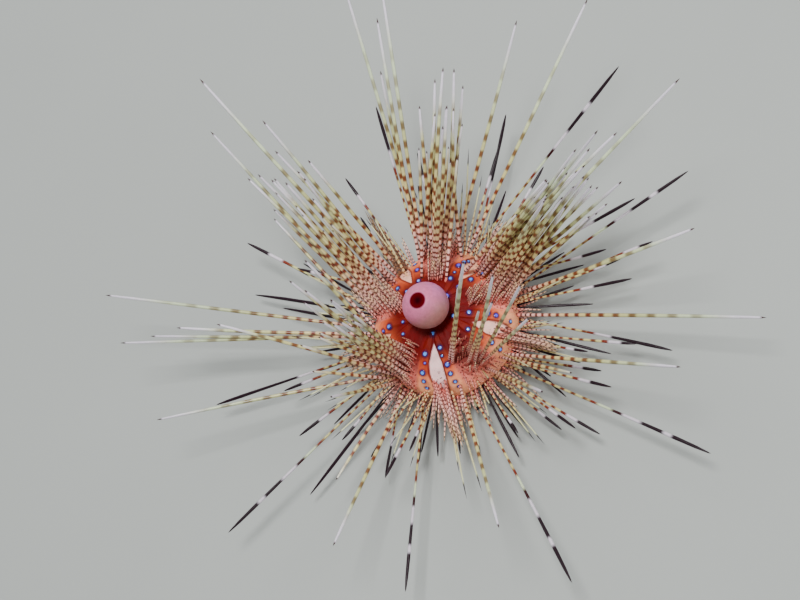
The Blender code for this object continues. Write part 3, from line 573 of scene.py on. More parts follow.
def thickness(spine, share):
    """A spine's radius at a share of its length."""
    _, root, neck = KINDS[spine.kind]
    length = (spine.tip - spine.root).length
    return girth(spine.kind, length) * (root + (neck - root) * min(share / NECK_AT, 1))


def rooted(azimuth, t, kind):
    """A root on the shell and its part, kept clear of the joints beside it."""
    name, number, middle, half = segment_at(azimuth)
    radius = outline(t)[0]
    most = half - math.degrees((KINDS[kind][0] + ROOT_MARGIN) / radius)
    offset = min(max(turned_by(azimuth, middle), -most), most)
    return surface(middle + offset, t)[0], f"{name}_{number}"


def nearest(first, second):
    """The least distance between two spines' axes, and how far along each it lies."""
    u, v, w = first.tip - first.root, second.tip - second.root, first.root - second.root
    a, b, c, d, e = u.dot(u), u.dot(v), v.dot(v), u.dot(w), v.dot(w)
    base = a * c - b * b
    s = min(max((b * e - c * d) / base, 0), 1) if base > PARALLEL else 0.0
    t = (b * s + e) / c
    if t < 0 or t > 1:
        t = min(max(t, 0), 1)
        s = min(max((b * t - d) / a, 0), 1)
    return (w + u * s - v * t).length, s, t


def clears_spines(spine, others):
    """Whether a spine keeps its distance from the ones that stand already."""
    middle, half = (spine.root + spine.tip) / 2, (spine.tip - spine.root).length / 2
    for other in others:
        reach = half + (other.tip - other.root).length / 2 + CLEAR_BEYOND
        if (middle - (other.root + other.tip) / 2).length_squared > reach * reach:
            continue
        gap = CLEAR_SAME_PART if spine.part == other.part else CLEAR_OTHER_PART
        distance, here, there = nearest(spine, other)
        if distance < thickness(spine, here) + thickness(other, there) + gap:
            return False
    return True


def clears_body(spine):
    """Whether a spine keeps off the floor, the anal sac and the segments beside its own."""
    if spine.kind != "foot" and spine.tip.z < LEAST_TIP_HEIGHT:
        return False
    way = spine.tip - spine.root
    share = min(max((SAC_CENTRE - spine.root).dot(way) / way.dot(way), 0), 1)
    if (spine.root + way * share - SAC_CENTRE).length < SAC_RADIUS + CLEAR_SAC:
        return False
    middle, half = segment_at(azimuth_of(spine.root))[2:]
    room = thickness(spine, 0) + CLEAR_OTHER_PART
    for number in range(CLEAR_STEPS):
        far = number * CLEAR_STEP - SINK
        point = spine.root + way.normalized() * far
        azimuth, _, gap = place_of(point)
        if far > way.length or gap > room:
            return True
        beside = math.degrees(room / math.hypot(point.x, point.y))
        if abs(turned_by(azimuth, middle)) > half - beside:
            return False
    return False


def nudged(place, tip, kind, standing, draw, tries=NUDGE_TRIES):
    """A spine from a place on the shell to a tip, moved a little until it stands clear."""
    reach = tip - WAIST_CENTRE
    azimuth, rise = azimuth_of(reach), rise_of(reach)
    for attempt in range(tries):
        sway = NUDGE_DEGREES * attempt
        t = place[1] + draw.uniform(-1, 1) * ROOT_SHIFT * attempt
        t = min(max(t, ROOT_OUTLINES[0]), ROOT_OUTLINES[1])
        aside = draw.uniform(-ROOT_SWAY * sway, ROOT_SWAY * sway)
        root, part = rooted(place[0] + aside, t, kind)
        moved = aim(azimuth + draw.uniform(-sway, sway), rise + draw.uniform(-sway, sway))
        spine = Spine(root, WAIST_CENTRE + moved * reach.length, kind, part)
        if clears_body(spine) and clears_spines(spine, standing):
            return spine
    return None


def low_place(middle, tip, draw):
    """Azimuth and t where a low spine to a tip grows, beside the middle of its segment."""
    rise = rise_of(tip - WAIST_CENTRE)
    slope = OUTLINE_PER_DEGREE if rise > 0 else UNDER_OUTLINE_PER_DEGREE
    highest = BARE_END if segment_at(middle)[0] == "interambulacrum" else HIGHEST_ROOT
    t = min(max(LEVEL_OUTLINE - slope * rise, highest), LOWEST_ROOT)
    offset = LOW_SQUEEZE * turned_by(azimuth_of(tip), middle) + draw.uniform(-LOW_SWAY, LOW_SWAY)
    if t < BARE_END:
        most = RAY_STEP / 2 - BARE_HALF
        offset = min(max(offset, -most), most)
    return middle + offset, t


def between(spines, draw):
    """A place and a tip between two of some spines that stand close together."""
    pairs = [
        (first, second) for first, second in itertools.combinations(spines, 2)
        if math.degrees((first.tip - first.root).angle(second.tip - second.root)) < FILL_SPREAD
        and (first.root - second.root).length < FILL_APART
    ]
    first, second = draw.choice(pairs)
    share = draw.uniform(0, 1)
    azimuth, t, _ = place_of(first.root.lerp(second.root, share))
    t = min(max(t + draw.uniform(*FILL_SHIFT), FILL_OUTLINES[0]), FILL_OUTLINES[1])
    way = (first.tip - first.root).lerp(second.tip - second.root, share)
    way += Vector([draw.uniform(-FILL_SWAY, FILL_SWAY) * way.length for _ in range(3)])
    place = azimuth + draw.uniform(-FILL_TURN, FILL_TURN), t
    return place, surface(*place)[0] + way * draw.uniform(*FILL_LENGTHS)


def along_row(middle, offset, t, fans, draw):
    """Azimuth, t and tip of a small spine on an ambulacrum, along the nearest long one."""
    azimuth = middle + offset + draw.uniform(-ROW_TURN, ROW_TURN)
    place = azimuth, t + draw.uniform(-ROW_SHIFT, ROW_SHIFT)
    root = surface(*place)[0]
    near = min(fans, key=lambda spine: (spine.root - root).length)
    way = (near.tip - near.root).normalized()
    way = (way + Vector([draw.uniform(-ROW_SWAY, ROW_SWAY) for _ in range(3)])).normalized()
    length = (ROW_LENGTH[0] + ROW_LENGTH[1] * t) * draw.uniform(*ROW_RANGE) * ROW_SHARES[middle]
    return place, root + way * length


def in_tuft(furrow, draw):
    """Azimuth, t and tip of a small spine in the tuft below a furrow's leaf."""
    down = draw.uniform(0, 1)
    t = part_way(TUFT_OUTLINES, down)
    offset = draw.uniform(-1, 1) * part_way(TUFT_HALVES, down)
    root, normal = surface(furrow + offset, t)
    way = (normal * TUFT_RISE + turn(furrow)).normalized()
    return (furrow + offset, t), root + way * draw.uniform(*TUFT_LENGTHS)


def on_waist(middle, draw):
    """Azimuth, t and tip of a small spine about the waist."""
    azimuth, t = middle + draw.uniform(-LOW_SPREAD, LOW_SPREAD), draw.uniform(*SHORT_OUTLINE)
    sway = turn(azimuth + 90) * draw.uniform(-SHORT_SWAY, SHORT_SWAY)
    root, normal = surface(azimuth, t)
    way = (normal + turn(azimuth) * SHORT_LEAN + sway).normalized()
    share = UNDER_SHORT_SHARE if t > UNDER_SHORT else 1
    return (azimuth, t), root + way * draw.uniform(*SHORT_LENGTHS) * share


def even_rings(count):
    """Values of t that lie evenly along the outline, and a function from t to that share."""
    fine = np.linspace(0, 2, 2001)
    radius, height = outlines(fine)
    run = np.concatenate([[0], np.cumsum(np.hypot(np.diff(radius), np.diff(height)))])
    run /= run[-1]
    return np.interp(np.linspace(0, 1, count), run, fine), lambda t: np.interp(t, fine, run)


def feet():
    """The under spines that the urchin stands on."""
    found = []
    for azimuth in (furrow + offset for furrow in FURROWS for offset in FOOT_OFFSETS):
        root, part = rooted(azimuth, FOOT_OUTLINE, "foot")
        tip = root + turn(azimuth) * FOOT_REACH
        tip.z = 0
        found.append(Spine(root, tip, "foot", part))
    return found


@functools.lru_cache(maxsize=1)
def all_spines(fills):
    """The feet, the spines in view, those that fill the fans and the small ones between."""
    draw, looks = random.Random(PLACE_SEED), random.Random(TONE_SEED)
    standing = feet()

    def stand(place, tip, kind, tries=NUDGE_TRIES, mark=0.0):
        spine = nudged(place, tip, kind, standing, draw, tries)
        if spine is not None:
            spine = spine._replace(mark=mark, tone=looks.random())
            standing.append(spine)
        return spine

    fans = {}
    for middle, rows in IN_VIEW.items():
        own = [
            stand(root_in_view(*root), tip_in_view(*tip), kind, mark=mark[0] if mark else 0.0)
            for kind, tip, root, *mark in rows
        ]
        fans[middle] = [spine for spine in own if spine is not None and spine.kind == "fan"]
    for middle, count in FAN_FILLS.items():
        for _ in range(round(count * fills)):
            stand(*between(fans[middle], draw), "fan")
    for middle in SEGMENT_MIDDLES:
        for rises, lengths, count, kind in LOW_FILLS:
            for _ in range(count):
                way = aim(middle + draw.uniform(-LOW_SPREAD, LOW_SPREAD), draw.uniform(*rises))
                tip = WAIST_CENTRE + way * (SHELL_RADIUS + draw.uniform(*lengths))
                stand(low_place(middle, tip, draw), tip, kind, mark=looks.uniform(*LOW_MARKS))
        for _ in range(SHORT_FILLS):
            stand(*on_waist(middle, draw), "fine", SHORT_TRIES)
    for middle in ROW_SHARES:
        for t, offset in itertools.product(ROW_OUTLINES, ROW_OFFSETS):
            stand(*along_row(middle, offset, t, fans[middle], draw), "row", SHORT_TRIES)
    for furrow, olive in zip(FURROWS, TUFT_OLIVES):
        for _ in range(TUFT_SPINES):
            stand(*in_tuft(furrow, draw), "fine", SHORT_TRIES, olive)
    return tuple(standing)


def of_kind(spines, kind):
    """The spines of one kind."""
    return [spine for spine in spines if spine.kind == kind]


def near_sheaf(standing):
    """More long spines of the left sheaf, each clear of the long ones that stand already."""
    draw, most = random.Random(SHEAF_SEED), NEAR_SHEAF_TIP_SHIFT
    others = [spine for spine in standing if spine.kind in LONG_KINDS]
    found = []
    for tip, root in NEAR_SHEAF:
        azimuth, t = root_in_view(*root)
        for _ in range(NEAR_SHEAF_TRIES):
            aside = draw.uniform(-NEAR_SHEAF_SWAY, NEAR_SHEAF_SWAY)
            down = draw.uniform(-NEAR_SHEAF_SHIFT, NEAR_SHEAF_SHIFT)
            shift = Vector([draw.uniform(-most, most) for _ in range(3)])
            point, part = rooted(azimuth + aside, t + down, "fan")
            spine = Spine(point, tip_in_view(*tip) + shift, "fan", part, 0.0, draw.random())
            near = (nearest(spine, other)[0] < NEAR_SHEAF_APART for other in others + found)
            if clears_body(spine) and not any(near):
                found.append(spine)
                break
    return found


def fine_rows(fans):
    """The finer spines of the rows, along the long ones there."""
    draw = random.Random(ROW_SEED)
    found = []
    for middle, share in ROW_SHARES.items():
        for t in np.linspace(*FINE_ROW_OUTLINES):
            spread = FINE_ROW_SPREAD[0] + FINE_ROW_SPREAD[1] * t
            for offset in np.linspace(*FINE_ROW_OFFSETS):
                place, tip = along_row(middle, offset * spread, t, fans, draw)
                root = surface(*place)[0]
                tip = root.lerp(tip, FINE_ROW_SHARE)
                found.append(Spine(root, tip, "streak", "", 1 - share, draw.random()))
    return found


def slender_spines(per_leaf, per_waist):
    """The slenderest spines: a tuft below each leaf and all about the waist."""
    draw = random.Random(SLENDER_SEED)
    found = []
    tufts = zip(FURROWS, TUFT_LEANS, TUFT_OLIVES, TUFT_KINDS, TUFT_SHARES)
    for furrow, lean, olive, kind, long in tufts:
        for _ in range(per_leaf):
            down = draw.uniform(0, 1)
            offset = draw.uniform(-1, 1) * part_way(LEAF_TUFT_HALVES, down) + LEAF_TUFT_DRIFT * down
            root, normal = surface(furrow + offset, part_way(LEAF_TUFT_OUTLINES, down))
            level = turn(furrow + lean - LEAF_TUFT_SPLAY * offset)
            way = (level + normal * draw.uniform(*SLENDER_RISE)).normalized()
            length = draw.uniform(*LEAF_TUFT_LENGTHS) * part_way(LEAF_TUFT_SHORTENING, down)
            tip = root + way * length * long
            found.append(Spine(root, tip, kind, "", olive, draw.random()))
    for middle in SEGMENT_MIDDLES:
        for _ in range(per_waist):
            t = draw.uniform(*SLENDER_OUTLINES)
            azimuth = middle + draw.uniform(-LOW_SPREAD, LOW_SPREAD)
            root, normal = surface(azimuth, t)
            aside = turn(azimuth + 90) * draw.uniform(-SLENDER_SWAY, SLENDER_SWAY)
            way = (normal + turn(azimuth) * SLENDER_LEAN + aside).normalized()
            length = draw.uniform(*SLENDER_LENGTHS) * (1 if t < UNDER_SHORT else UNDER_SHORT_SHARE)
            if (root + way * length).z > LEAST_TIP_HEIGHT / 2:
                found.append(Spine(root, root + way * length, "slender", "", 0, draw.random()))
    return found


def under_spines(spacing):
    """Small spines all over the under side, leaning outwards and clear of the floor."""
    draw = random.Random(UNDER_SEED)
    found = []
    for t in np.linspace(*UNDER_OUTLINES):
        radius, _ = outline(t)
        count = round(2 * math.pi * radius / spacing) if radius > UNDER_LEAST_RADIUS else 0
        for number in range(count):
            azimuth = 360 * (number + draw.uniform(0, 1)) / count
            root, normal = surface(azimuth, t)
            aside = turn(azimuth + 90) * draw.uniform(-SLENDER_SWAY, SLENDER_SWAY)
            way = (normal * UNDER_DOWN + turn(azimuth) + aside).normalized()
            length = draw.uniform(*UNDER_LENGTHS)
            if way.z < 0:
                length = min(length, (root.z - LEAST_TIP_HEIGHT) / -way.z)
            if length > UNDER_LENGTHS[0] / 2:
                found.append(Spine(root, root + way * length, "fine", "", 0, draw.random()))
    return found


# Meshes

def start_alone():
    """Leaves edit mode and deselects everything."""
    if bpy.context.object and bpy.context.object.mode != "OBJECT":
        bpy.ops.object.mode_set(mode="OBJECT")
    bpy.ops.object.select_all(action="DESELECT")


def finished(item, name, material, nodes=()):
    """Names a piece, gives it its material and finish and lets it ride with the shell."""
    item.name = item.data.name = name
    item.data.materials.clear()
    item.data.materials.append(material)
    for face in item.data.polygons:
        face.use_smooth = True
    if nodes:
        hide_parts(*nodes)
    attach(item, "root")
    return item


class Form:
    """A small model read as arrays, ready to be copied many times into one mesh."""

    def __init__(self, item):
        mesh = item.data
        self.points = np.array([vert.co for vert in mesh.vertices])
        self.corners = np.array([i for face in mesh.polygons for i in face.vertices])
        self.totals = np.array([len(face.vertices) for face in mesh.polygons])
        angle = np.arctan2(self.points[:, 1], self.points[:, 0]) / (2 * np.pi) + 0.5
        around, start = angle[self.corners], 0
        for total in self.totals:
            ring = around[start:start + total]
            if ring.max() - ring.min() > 0.5:
                ring[ring < 0.5] += 1
            start += total
        self.around = around
        bpy.data.objects.remove(item)


def drawn_out(sides, profile, pointed=True):
    """A round form modelled along +Z from (place, radius) pairs."""
    start_alone()
    bpy.ops.mesh.primitive_circle_add(
        vertices=sides, radius=1, fill_type="NGON", location=(0, 0, 0),
    )
    item = bpy.context.object
    bpy.ops.object.mode_set(mode="EDIT")
    bpy.ops.mesh.select_all(action="SELECT")
    place, size = profile[0]
    bpy.ops.transform.translate(value=(0, 0, place))
    bpy.ops.transform.resize(value=(size, size, size), center_override=(0, 0, place))
    for after, wide in profile[1:]:
        bpy.ops.mesh.extrude_region_move(TRANSFORM_OT_translate={"value": (0, 0, after - place)})
        scale = wide / size
        bpy.ops.transform.resize(value=(scale, scale, scale), center_override=(0, 0, after))
        place, size = after, wide
    if pointed:
        bpy.ops.mesh.merge(type="CENTER")
    bpy.ops.mesh.select_all(action="SELECT")
    bpy.ops.mesh.normals_make_consistent(inside=False)
    bpy.ops.object.mode_set(mode="OBJECT")
    return Form(item)


def set_values(mesh, values):
    """Gives the points of a mesh their float values."""
    for key, numbers in values.items():
        layer = mesh.attributes.new(key, "FLOAT", "POINT")
        layer.data.foreach_set("value", np.ravel(numbers).astype(np.float32))


def tiled(name, form, points, values, u, v):
    """One mesh of copies of a form, from their points in millimetres about the shell's axis, with
    its float values and its map."""
    count, size = len(points), len(form.points)
    placed = (points + np.array([AXIS.x, AXIS.y, 0]) / MM) * MM
    corners = (form.corners[None, :] + np.arange(count)[:, None] * size).ravel()
    totals = np.tile(form.totals, count)
    starts = np.concatenate([[0], np.cumsum(totals)[:-1]])
    mesh = bpy.data.meshes.new(name)
    mesh.vertices.add(count * size)
    mesh.vertices.foreach_set("co", placed.astype(np.float32).ravel())
    mesh.loops.add(len(corners))
    mesh.loops.foreach_set("vertex_index", corners.astype(np.int32))
    mesh.polygons.add(len(totals))
    mesh.polygons.foreach_set("loop_start", starts.astype(np.int32))
    mesh.update(calc_edges=True)
    set_values(mesh, values)
    layer = mesh.uv_layers.new(name="OFBake")
    layer.data.foreach_set("uv", np.stack([u, v], axis=2).astype(np.float32).ravel())
    mesh.validate()
    item = bpy.data.objects.new(name, mesh)
    bpy.context.scene.collection.objects.link(item)
    return item


def spine_piece(name, kind, spines, material, number=0, patches=False):
    """A piece of spines, each a copy of its kind's form from its root to its tip."""
    corners, sink, bow, seed, rings = MODELS[kind]
    form = drawn_out(corners, rings, pointed=kind != "foot")
    draw = np.random.default_rng(seed + number)
    count = len(spines)
    roots = np.array([spine.root for spine in spines])
    tips = np.array([spine.tip for spine in spines])
    lengths = np.linalg.norm(tips - roots, axis=1)
    ways = (tips - roots) / lengths[:, None]
    helper = np.where(np.abs(ways[:, 2:3]) > 0.9, [[1.0, 0, 0]], [[0, 0, 1.0]])
    sides = np.cross(ways, helper)
    sides /= np.linalg.norm(sides, axis=1)[:, None]
    others = np.cross(ways, sides)
    spin = draw.uniform(0, 2 * np.pi, count)
    spun = sides * np.cos(spin)[:, None] + others * np.sin(spin)[:, None]
    spun_too = np.cross(ways, spun)
    size = np.array([girth(spine.kind, length) for spine, length in zip(spines, lengths)])
    size *= draw.uniform(*GIRTH_RANGE, count)
    along = form.points[:, 2][None, :] * (lengths + sink)[:, None] - sink
    bend = draw.normal(0, bow, count) * lengths
    share = np.clip(along / lengths[:, None], 0, 1)
    lift = 4 * share * (1 - share) * bend[:, None]
    x = form.points[:, 0][None, :] * size[:, None]
    y = form.points[:, 1][None, :] * size[:, None]
    points = roots[:, None] + ways[:, None] * along[..., None]
    points += spun[:, None] * (x + lift)[..., None] + spun_too[:, None] * y[..., None]
    # The feet end flat on the floor
    points[..., 2] = np.maximum(points[..., 2], 0)
    values = {"run": np.maximum(along, 0), "share": share}
    for key in ("tone", "mark"):
        own = np.array([getattr(spine, key) for spine in spines])
        values[key] = np.repeat(own[:, None], share.shape[1], axis=1)
    corner_share = share[:, form.corners]
    around = np.repeat(form.around[None, :], count, axis=0)
    if patches:
        fine = np.linspace(0, 2, PATCH_STEPS)
        rim, height = outlines(fine)
        radius = np.hypot(roots[:, 0], roots[:, 1])
        off = (radius[:, None] - rim) ** 2 + (roots[:, 2][:, None] - height) ** 2
        down = 1 - even_rings(2)[1](fine[np.argmin(off, axis=1)])
        turns = np.degrees(np.arctan2(roots[:, 1], roots[:, 0])) / 360 + 0.5
        u = turns[:, None] * PATCH_ROOM + around * PATCH_SIZE
        v = down[:, None] * PATCH_ROOM + corner_share * PATCH_SIZE
    else:
        strip = STRIP_SIDE + (1 - 2 * STRIP_SIDE) * around / MOST_AROUND
        u = (np.arange(count)[:, None] + strip) / count
        v = STRIP_END + (1 - 2 * STRIP_END) * corner_share
    return finished(tiled(name, form, points, values, u, v), name, material)


# Colours and materials

def shade(red, green, blue):
    """A screen colour of 0 to 255 as linear light."""
    return tuple(
        c / 12.92 if c <= 0.04045 else ((c + 0.055) / 1.055) ** 2.4
        for c in (red / 255, green / 255, blue / 255)
    )


def colour_property(name, description, colour):
    """A colour that a user may change."""
    return FloatVectorProperty(
        name=name, description=description, subtype="COLOR", size=3, min=0, max=1,
        default=shade(*colour),
    )


def length_property(name, description, default, most, least=0.0):
    """A length in metres that a user may change."""
    return FloatProperty(
        name=name, description=description, default=default, min=least, max=most,
        subtype="DISTANCE", unit="LENGTH",
    )


def power_property(name, description, default):
    """A lamp's power in watts that a user may change."""
    return FloatProperty(
        name=name, description=description, default=default, min=0, unit="POWER",
    )


def count_property(name, description, default):
    """A number of spines that a user may change."""
    return IntProperty(name=name, description=description, default=default, min=0, max=100)


class Nodes:
    """Builds a material's nodes, each made and linked in one call."""

    def __init__(self, name):
        self.material = bpy.data.materials.new(name)
        self.material.use_nodes = True
        self.tree = self.material.node_tree
        self.shader = self.tree.nodes["Principled BSDF"]
        self.x = -200

    def add(self, kind, inputs=(), **settings):
        """A node with its settings, and each input linked or set."""
        node = self.tree.nodes.new(kind)
        self.x -= 40
        node.location = (self.x, 0)
        for key, value in settings.items():
            setattr(node, key, value)
        for key, value in dict(inputs).items():
            self.give(node.inputs[key], value)
        return node

    def give(self, socket, value):
        """Links a socket to another, or sets its value."""
        if isinstance(value, bpy.types.NodeSocket):
            self.tree.links.new(value, socket)
        else:
            socket.default_value = value

    def attribute(self, name):
        return self.add("ShaderNodeAttribute", attribute_name=name).outputs["Fac"]

    def colour_attribute(self, name):
        return self.add("ShaderNodeAttribute", attribute_name=name).outputs["Color"]

    def math(self, operation, *values, clamp=False):
        inputs = dict(enumerate(values))
        return self.add("ShaderNodeMath", inputs, operation=operation, use_clamp=clamp).outputs[0]

    def smooth(self, value, low, high, start=0.0, end=1.0):
        """Goes smoothly from start to end as a value goes from low to high."""
        node = self.add(
            "ShaderNodeMapRange",
            {0: value, "From Min": low, "From Max": high, "To Min": start, "To Max": end},
            interpolation_type="SMOOTHSTEP",
        )
        return node.outputs[0]

    def mix(self, factor, first, second):
        """A colour between two colours."""
        node = self.add("ShaderNodeMix", {0: factor}, data_type="RGBA")
        for socket, value in ((node.inputs[6], first), (node.inputs[7], second)):
            self.give(socket, value if isinstance(value, bpy.types.NodeSocket) else (*value, 1))
        return node.outputs[2]

    def ramp(self, value, stops):
        """A colour ramp of (place, colour) or (place, colour, alpha) stops in their order."""
        node = self.add("ShaderNodeValToRGB", {0: value})
        ramp = node.color_ramp
        for place, *_ in stops[2:]:
            ramp.elements.new(place)
        for element, (place, *_) in zip(ramp.elements, stops):
            element.position = place
        for element, (_, colour, *alpha) in zip(ramp.elements, stops):
            element.color = (*colour, alpha[0] if alpha else 1)
        return node.outputs["Color"], node.outputs["Alpha"]

    def place(self):
        """The model's own place."""
        return self.add("ShaderNodeTexCoord").outputs["Object"]

    def noise(self, scale, detail=3.0, roughness=0.5):
        """Noise over the model's own place, from 0 to 1."""
        inputs = {"Vector": self.place(), "Scale": scale, "Detail": detail, "Roughness": roughness}
        return self.add("ShaderNodeTexNoise", inputs).outputs["Fac"]

    def level(self, value, low, high):
        """Goes evenly from low to high as a value goes from 0 to 1."""
        return self.add("ShaderNodeMapRange", {0: value, "To Min": low, "To Max": high}).outputs[0]

    def lit(self, colour, level):
        """A colour made darker or lighter by a level."""
        return self.add("ShaderNodeHueSaturation", {"Value": level, "Color": colour}).outputs[0]

    def bump(self, height, strength, distance):
        inputs = {"Height": height, "Strength": strength, "Distance": distance}
        self.give(self.shader.inputs["Normal"], self.add("ShaderNodeBump", inputs).outputs[0])

    def finish(self, colour, roughness, **inputs):
        self.give(self.shader.inputs["Base Color"], colour)
        self.give(self.shader.inputs["Roughness"], roughness)
        for key, value in inputs.items():
            self.give(self.shader.inputs[key.replace("_", " ")], value)
        return self.material


def spine_finish(nodes, colour, tones, roughness, **inputs):
    """Each spine a little darker or lighter than the next, with fine ridges and thorns."""
    nodes.bump(nodes.noise(2600.0, 2.0), 0.2, 0.0002)
    tone = nodes.level(nodes.attribute("tone"), *tones)
    grain = nodes.level(nodes.noise(900.0), 0.88, 1.12)
    colour = nodes.lit(colour, nodes.math("MULTIPLY", tone, grain))
    return nodes.finish(colour, roughness, **inputs)


def band_mask(nodes, run, finest, growth, dark_share, narrowed=0.0):
    """Bands along a spine, 1 in the dark ones, that get longer away from the root; narrowed makes
    the dark ones shorter near the root."""
    phase = nodes.math("MULTIPLY_ADD", run, growth / finest, 1.0)
    phase = nodes.math("DIVIDE", nodes.math("LOGARITHM", phase, math.e), growth)
    phase = nodes.math("ADD", phase, nodes.math("MULTIPLY", nodes.attribute("tone"), 0.6))
    wave = nodes.math("SINE", nodes.math("MULTIPLY", phase, 2 * math.pi))
    wave = nodes.math("SUBTRACT", wave, nodes.smooth(run, 5.0, 16.0, narrowed, 0.0))
    edge = math.cos(math.pi * dark_share)
    return nodes.smooth(wave, edge - BAND_SOFTNESS, edge + BAND_SOFTNESS)


def fan_material(look):
    """Pink at the root, then beaded and banded cream and red-brown, paler to the lilac end."""
    nodes = Nodes("fan_spines")
    run, share = nodes.attribute("run"), nodes.attribute("share")
    far = nodes.math("DIVIDE", run, 50.0)
    light, _ = nodes.ramp(far, (
        (0.0, look.pink), (0.04, look.pale_pink), (0.12, look.pale_pink), (0.2, look.cream),
        (0.32, look.straw), (0.55, look.olive_cream), (0.8, look.green_white),
        (1.0, look.green_white),
    ))
    dark, strength = nodes.ramp(far, (
        (0.0, look.maroon, 1), (0.05, look.maroon, 1), (0.12, look.red_brown, 1),
        (0.25, look.red_brown, 1), (0.4, look.orange_brown, 1), (0.6, look.olive_brown, 0.9),
        (0.8, look.olive_brown, 0.6), (1.0, look.olive_brown, 0.2),
    ))
    strength = nodes.math("MULTIPLY", strength, nodes.smooth(share, 0.97, 0.72))
    bands = band_mask(nodes, run, 0.9, 0.115, 0.43, narrowed=0.12)
    colour = nodes.mix(nodes.math("MULTIPLY", bands, strength), light, dark)
    end = nodes.smooth(run, 20.0, 32.0, 0.25, 1.0)
    end = nodes.math("MULTIPLY", nodes.smooth(share, 0.74, 0.92), end)
    colour = nodes.mix(end, colour, look.blue_white)
    colour = nodes.mix(nodes.smooth(share, 0.972, 0.985), colour, look.maroon)
    return spine_finish(nodes, colour, (0.86, 1.1), 0.3, Specular_IOR_Level=0.6)


def row_material(look):
    """Pale pink with maroon dots; on the dark ambulacra only thin pale streaks."""
    nodes = Nodes("row_spines")
    run, share = nodes.attribute("run"), nodes.attribute("share")
    dull = nodes.math("MINIMUM", nodes.math("MULTIPLY", nodes.attribute("mark"), 1.8), 1.0)
    light, _ = nodes.ramp(share, ((0.0, look.pink), (0.5, look.pale_pink), (1.0, look.cream)))
    light = nodes.mix(nodes.math("MULTIPLY", dull, 0.6), light, look.pink)
    strength = nodes.math("MULTIPLY_ADD", dull, -0.35, 0.95)
    mask = nodes.math("MULTIPLY", band_mask(nodes, run, 0.85, 0.05, 0.34), strength)
    colour = nodes.mix(mask, light, look.maroon)
    return spine_finish(nodes, colour, (0.85, 1.12), 0.36)


def low_bands(nodes, look):
    """Cream with brown bands, from the root of a low spine outwards."""
    run = nodes.attribute("run")
    far = nodes.math("DIVIDE", run, 30.0)
    light, _ = nodes.ramp(far, ((0.0, look.cream), (0.3, look.straw), (0.8, look.olive_cream)))
    dark, _ = nodes.ramp(
        far, ((0.0, look.red_brown), (0.4, look.red_brown), (1.0, look.olive_brown)),
    )
    return nodes.mix(band_mask(nodes, run, 0.95, 0.11, 0.42), light, dark)


def ringed_material(look):
    """Banded near the root, then white with long black parts and a black end."""
    nodes = Nodes("ringed_spines")
    left = nodes.math("SUBTRACT", 1.0, nodes.attribute("share"))
    left = nodes.math("MULTIPLY_ADD", nodes.attribute("tone"), 0.03, left)
    outer, strength = nodes.ramp(left, (
        (0.0, look.black, 1), (0.185, look.black, 1), (0.2, look.white, 1), (0.225, look.white, 1),
        (0.24, look.black, 1), (0.33, look.black, 1), (0.35, look.white, 1), (0.42, look.white, 1),
        (0.435, look.maroon, 1), (0.47, look.maroon, 1), (0.49, look.green_white, 1),
        (0.54, look.green_white, 1), (0.56, look.red_brown, 1), (0.58, look.red_brown, 1),
        (0.61, look.straw, 0), (1.0, look.straw, 0),
    ))
    colour = nodes.mix(strength, low_bands(nodes, look), outer)
    return spine_finish(nodes, colour, (0.9, 1.06), 0.38, Specular_IOR_Level=0.3)


def tipped_material(look):
    """Banded near the root, then red-brown, white and black to the end; a black one all along."""
    nodes = Nodes("tipped_spines")
    left = nodes.math("SUBTRACT", 1.0, nodes.attribute("share"))
    beyond = nodes.math("SUBTRACT", left, nodes.attribute("mark"))
    colour = low_bands(nodes, look)
    colour = nodes.mix(nodes.smooth(beyond, 0.17, 0.15), colour, look.red_brown)
    colour = nodes.mix(nodes.smooth(beyond, 0.12, 0.09), colour, look.white)
    colour = nodes.mix(nodes.smooth(beyond, 0.015, -0.015), colour, look.black)
    return spine_finish(nodes, colour, (0.85, 1.15), 0.34, Specular_IOR_Level=0.3)


def thin_material(look):
    """Pale with narrow brown bands and a dark end."""
    nodes = Nodes("thin_spines")
    run, share = nodes.attribute("run"), nodes.attribute("share")
    light, _ = nodes.ramp(share, ((0.0, look.cream), (0.4, look.straw), (1.0, look.green_white)))
    bands = band_mask(nodes, run, 0.9, 0.08, 0.34)
    mask = nodes.math("MULTIPLY", bands, nodes.smooth(share, 0.7, 0.3))
    colour = nodes.mix(mask, light, look.red_brown)
    colour = nodes.mix(nodes.smooth(share, 0.82, 0.87), colour, look.black)
    return spine_finish(nodes, colour, (0.88, 1.08), 0.42)


def fine_material(look):
    """Pink-cream with small dark red dots, olive in the tufts marked so."""
    nodes = Nodes("fine_spines")
    mask = band_mask(nodes, nodes.attribute("run"), 0.8, 0.05, 0.34)
    light, _ = nodes.ramp(
        nodes.attribute("share"), ((0.0, look.pink), (0.6, look.pale_pink), (1.0, look.cream)),
    )
    olive = nodes.math("MULTIPLY", nodes.attribute("mark"), 0.85)
    light = nodes.mix(olive, light, look.olive_brown)
    colour = nodes.mix(nodes.math("MULTIPLY", mask, 0.9), light, look.maroon)
    return spine_finish(nodes, colour, (0.85, 1.1), 0.45)


# What a user may change

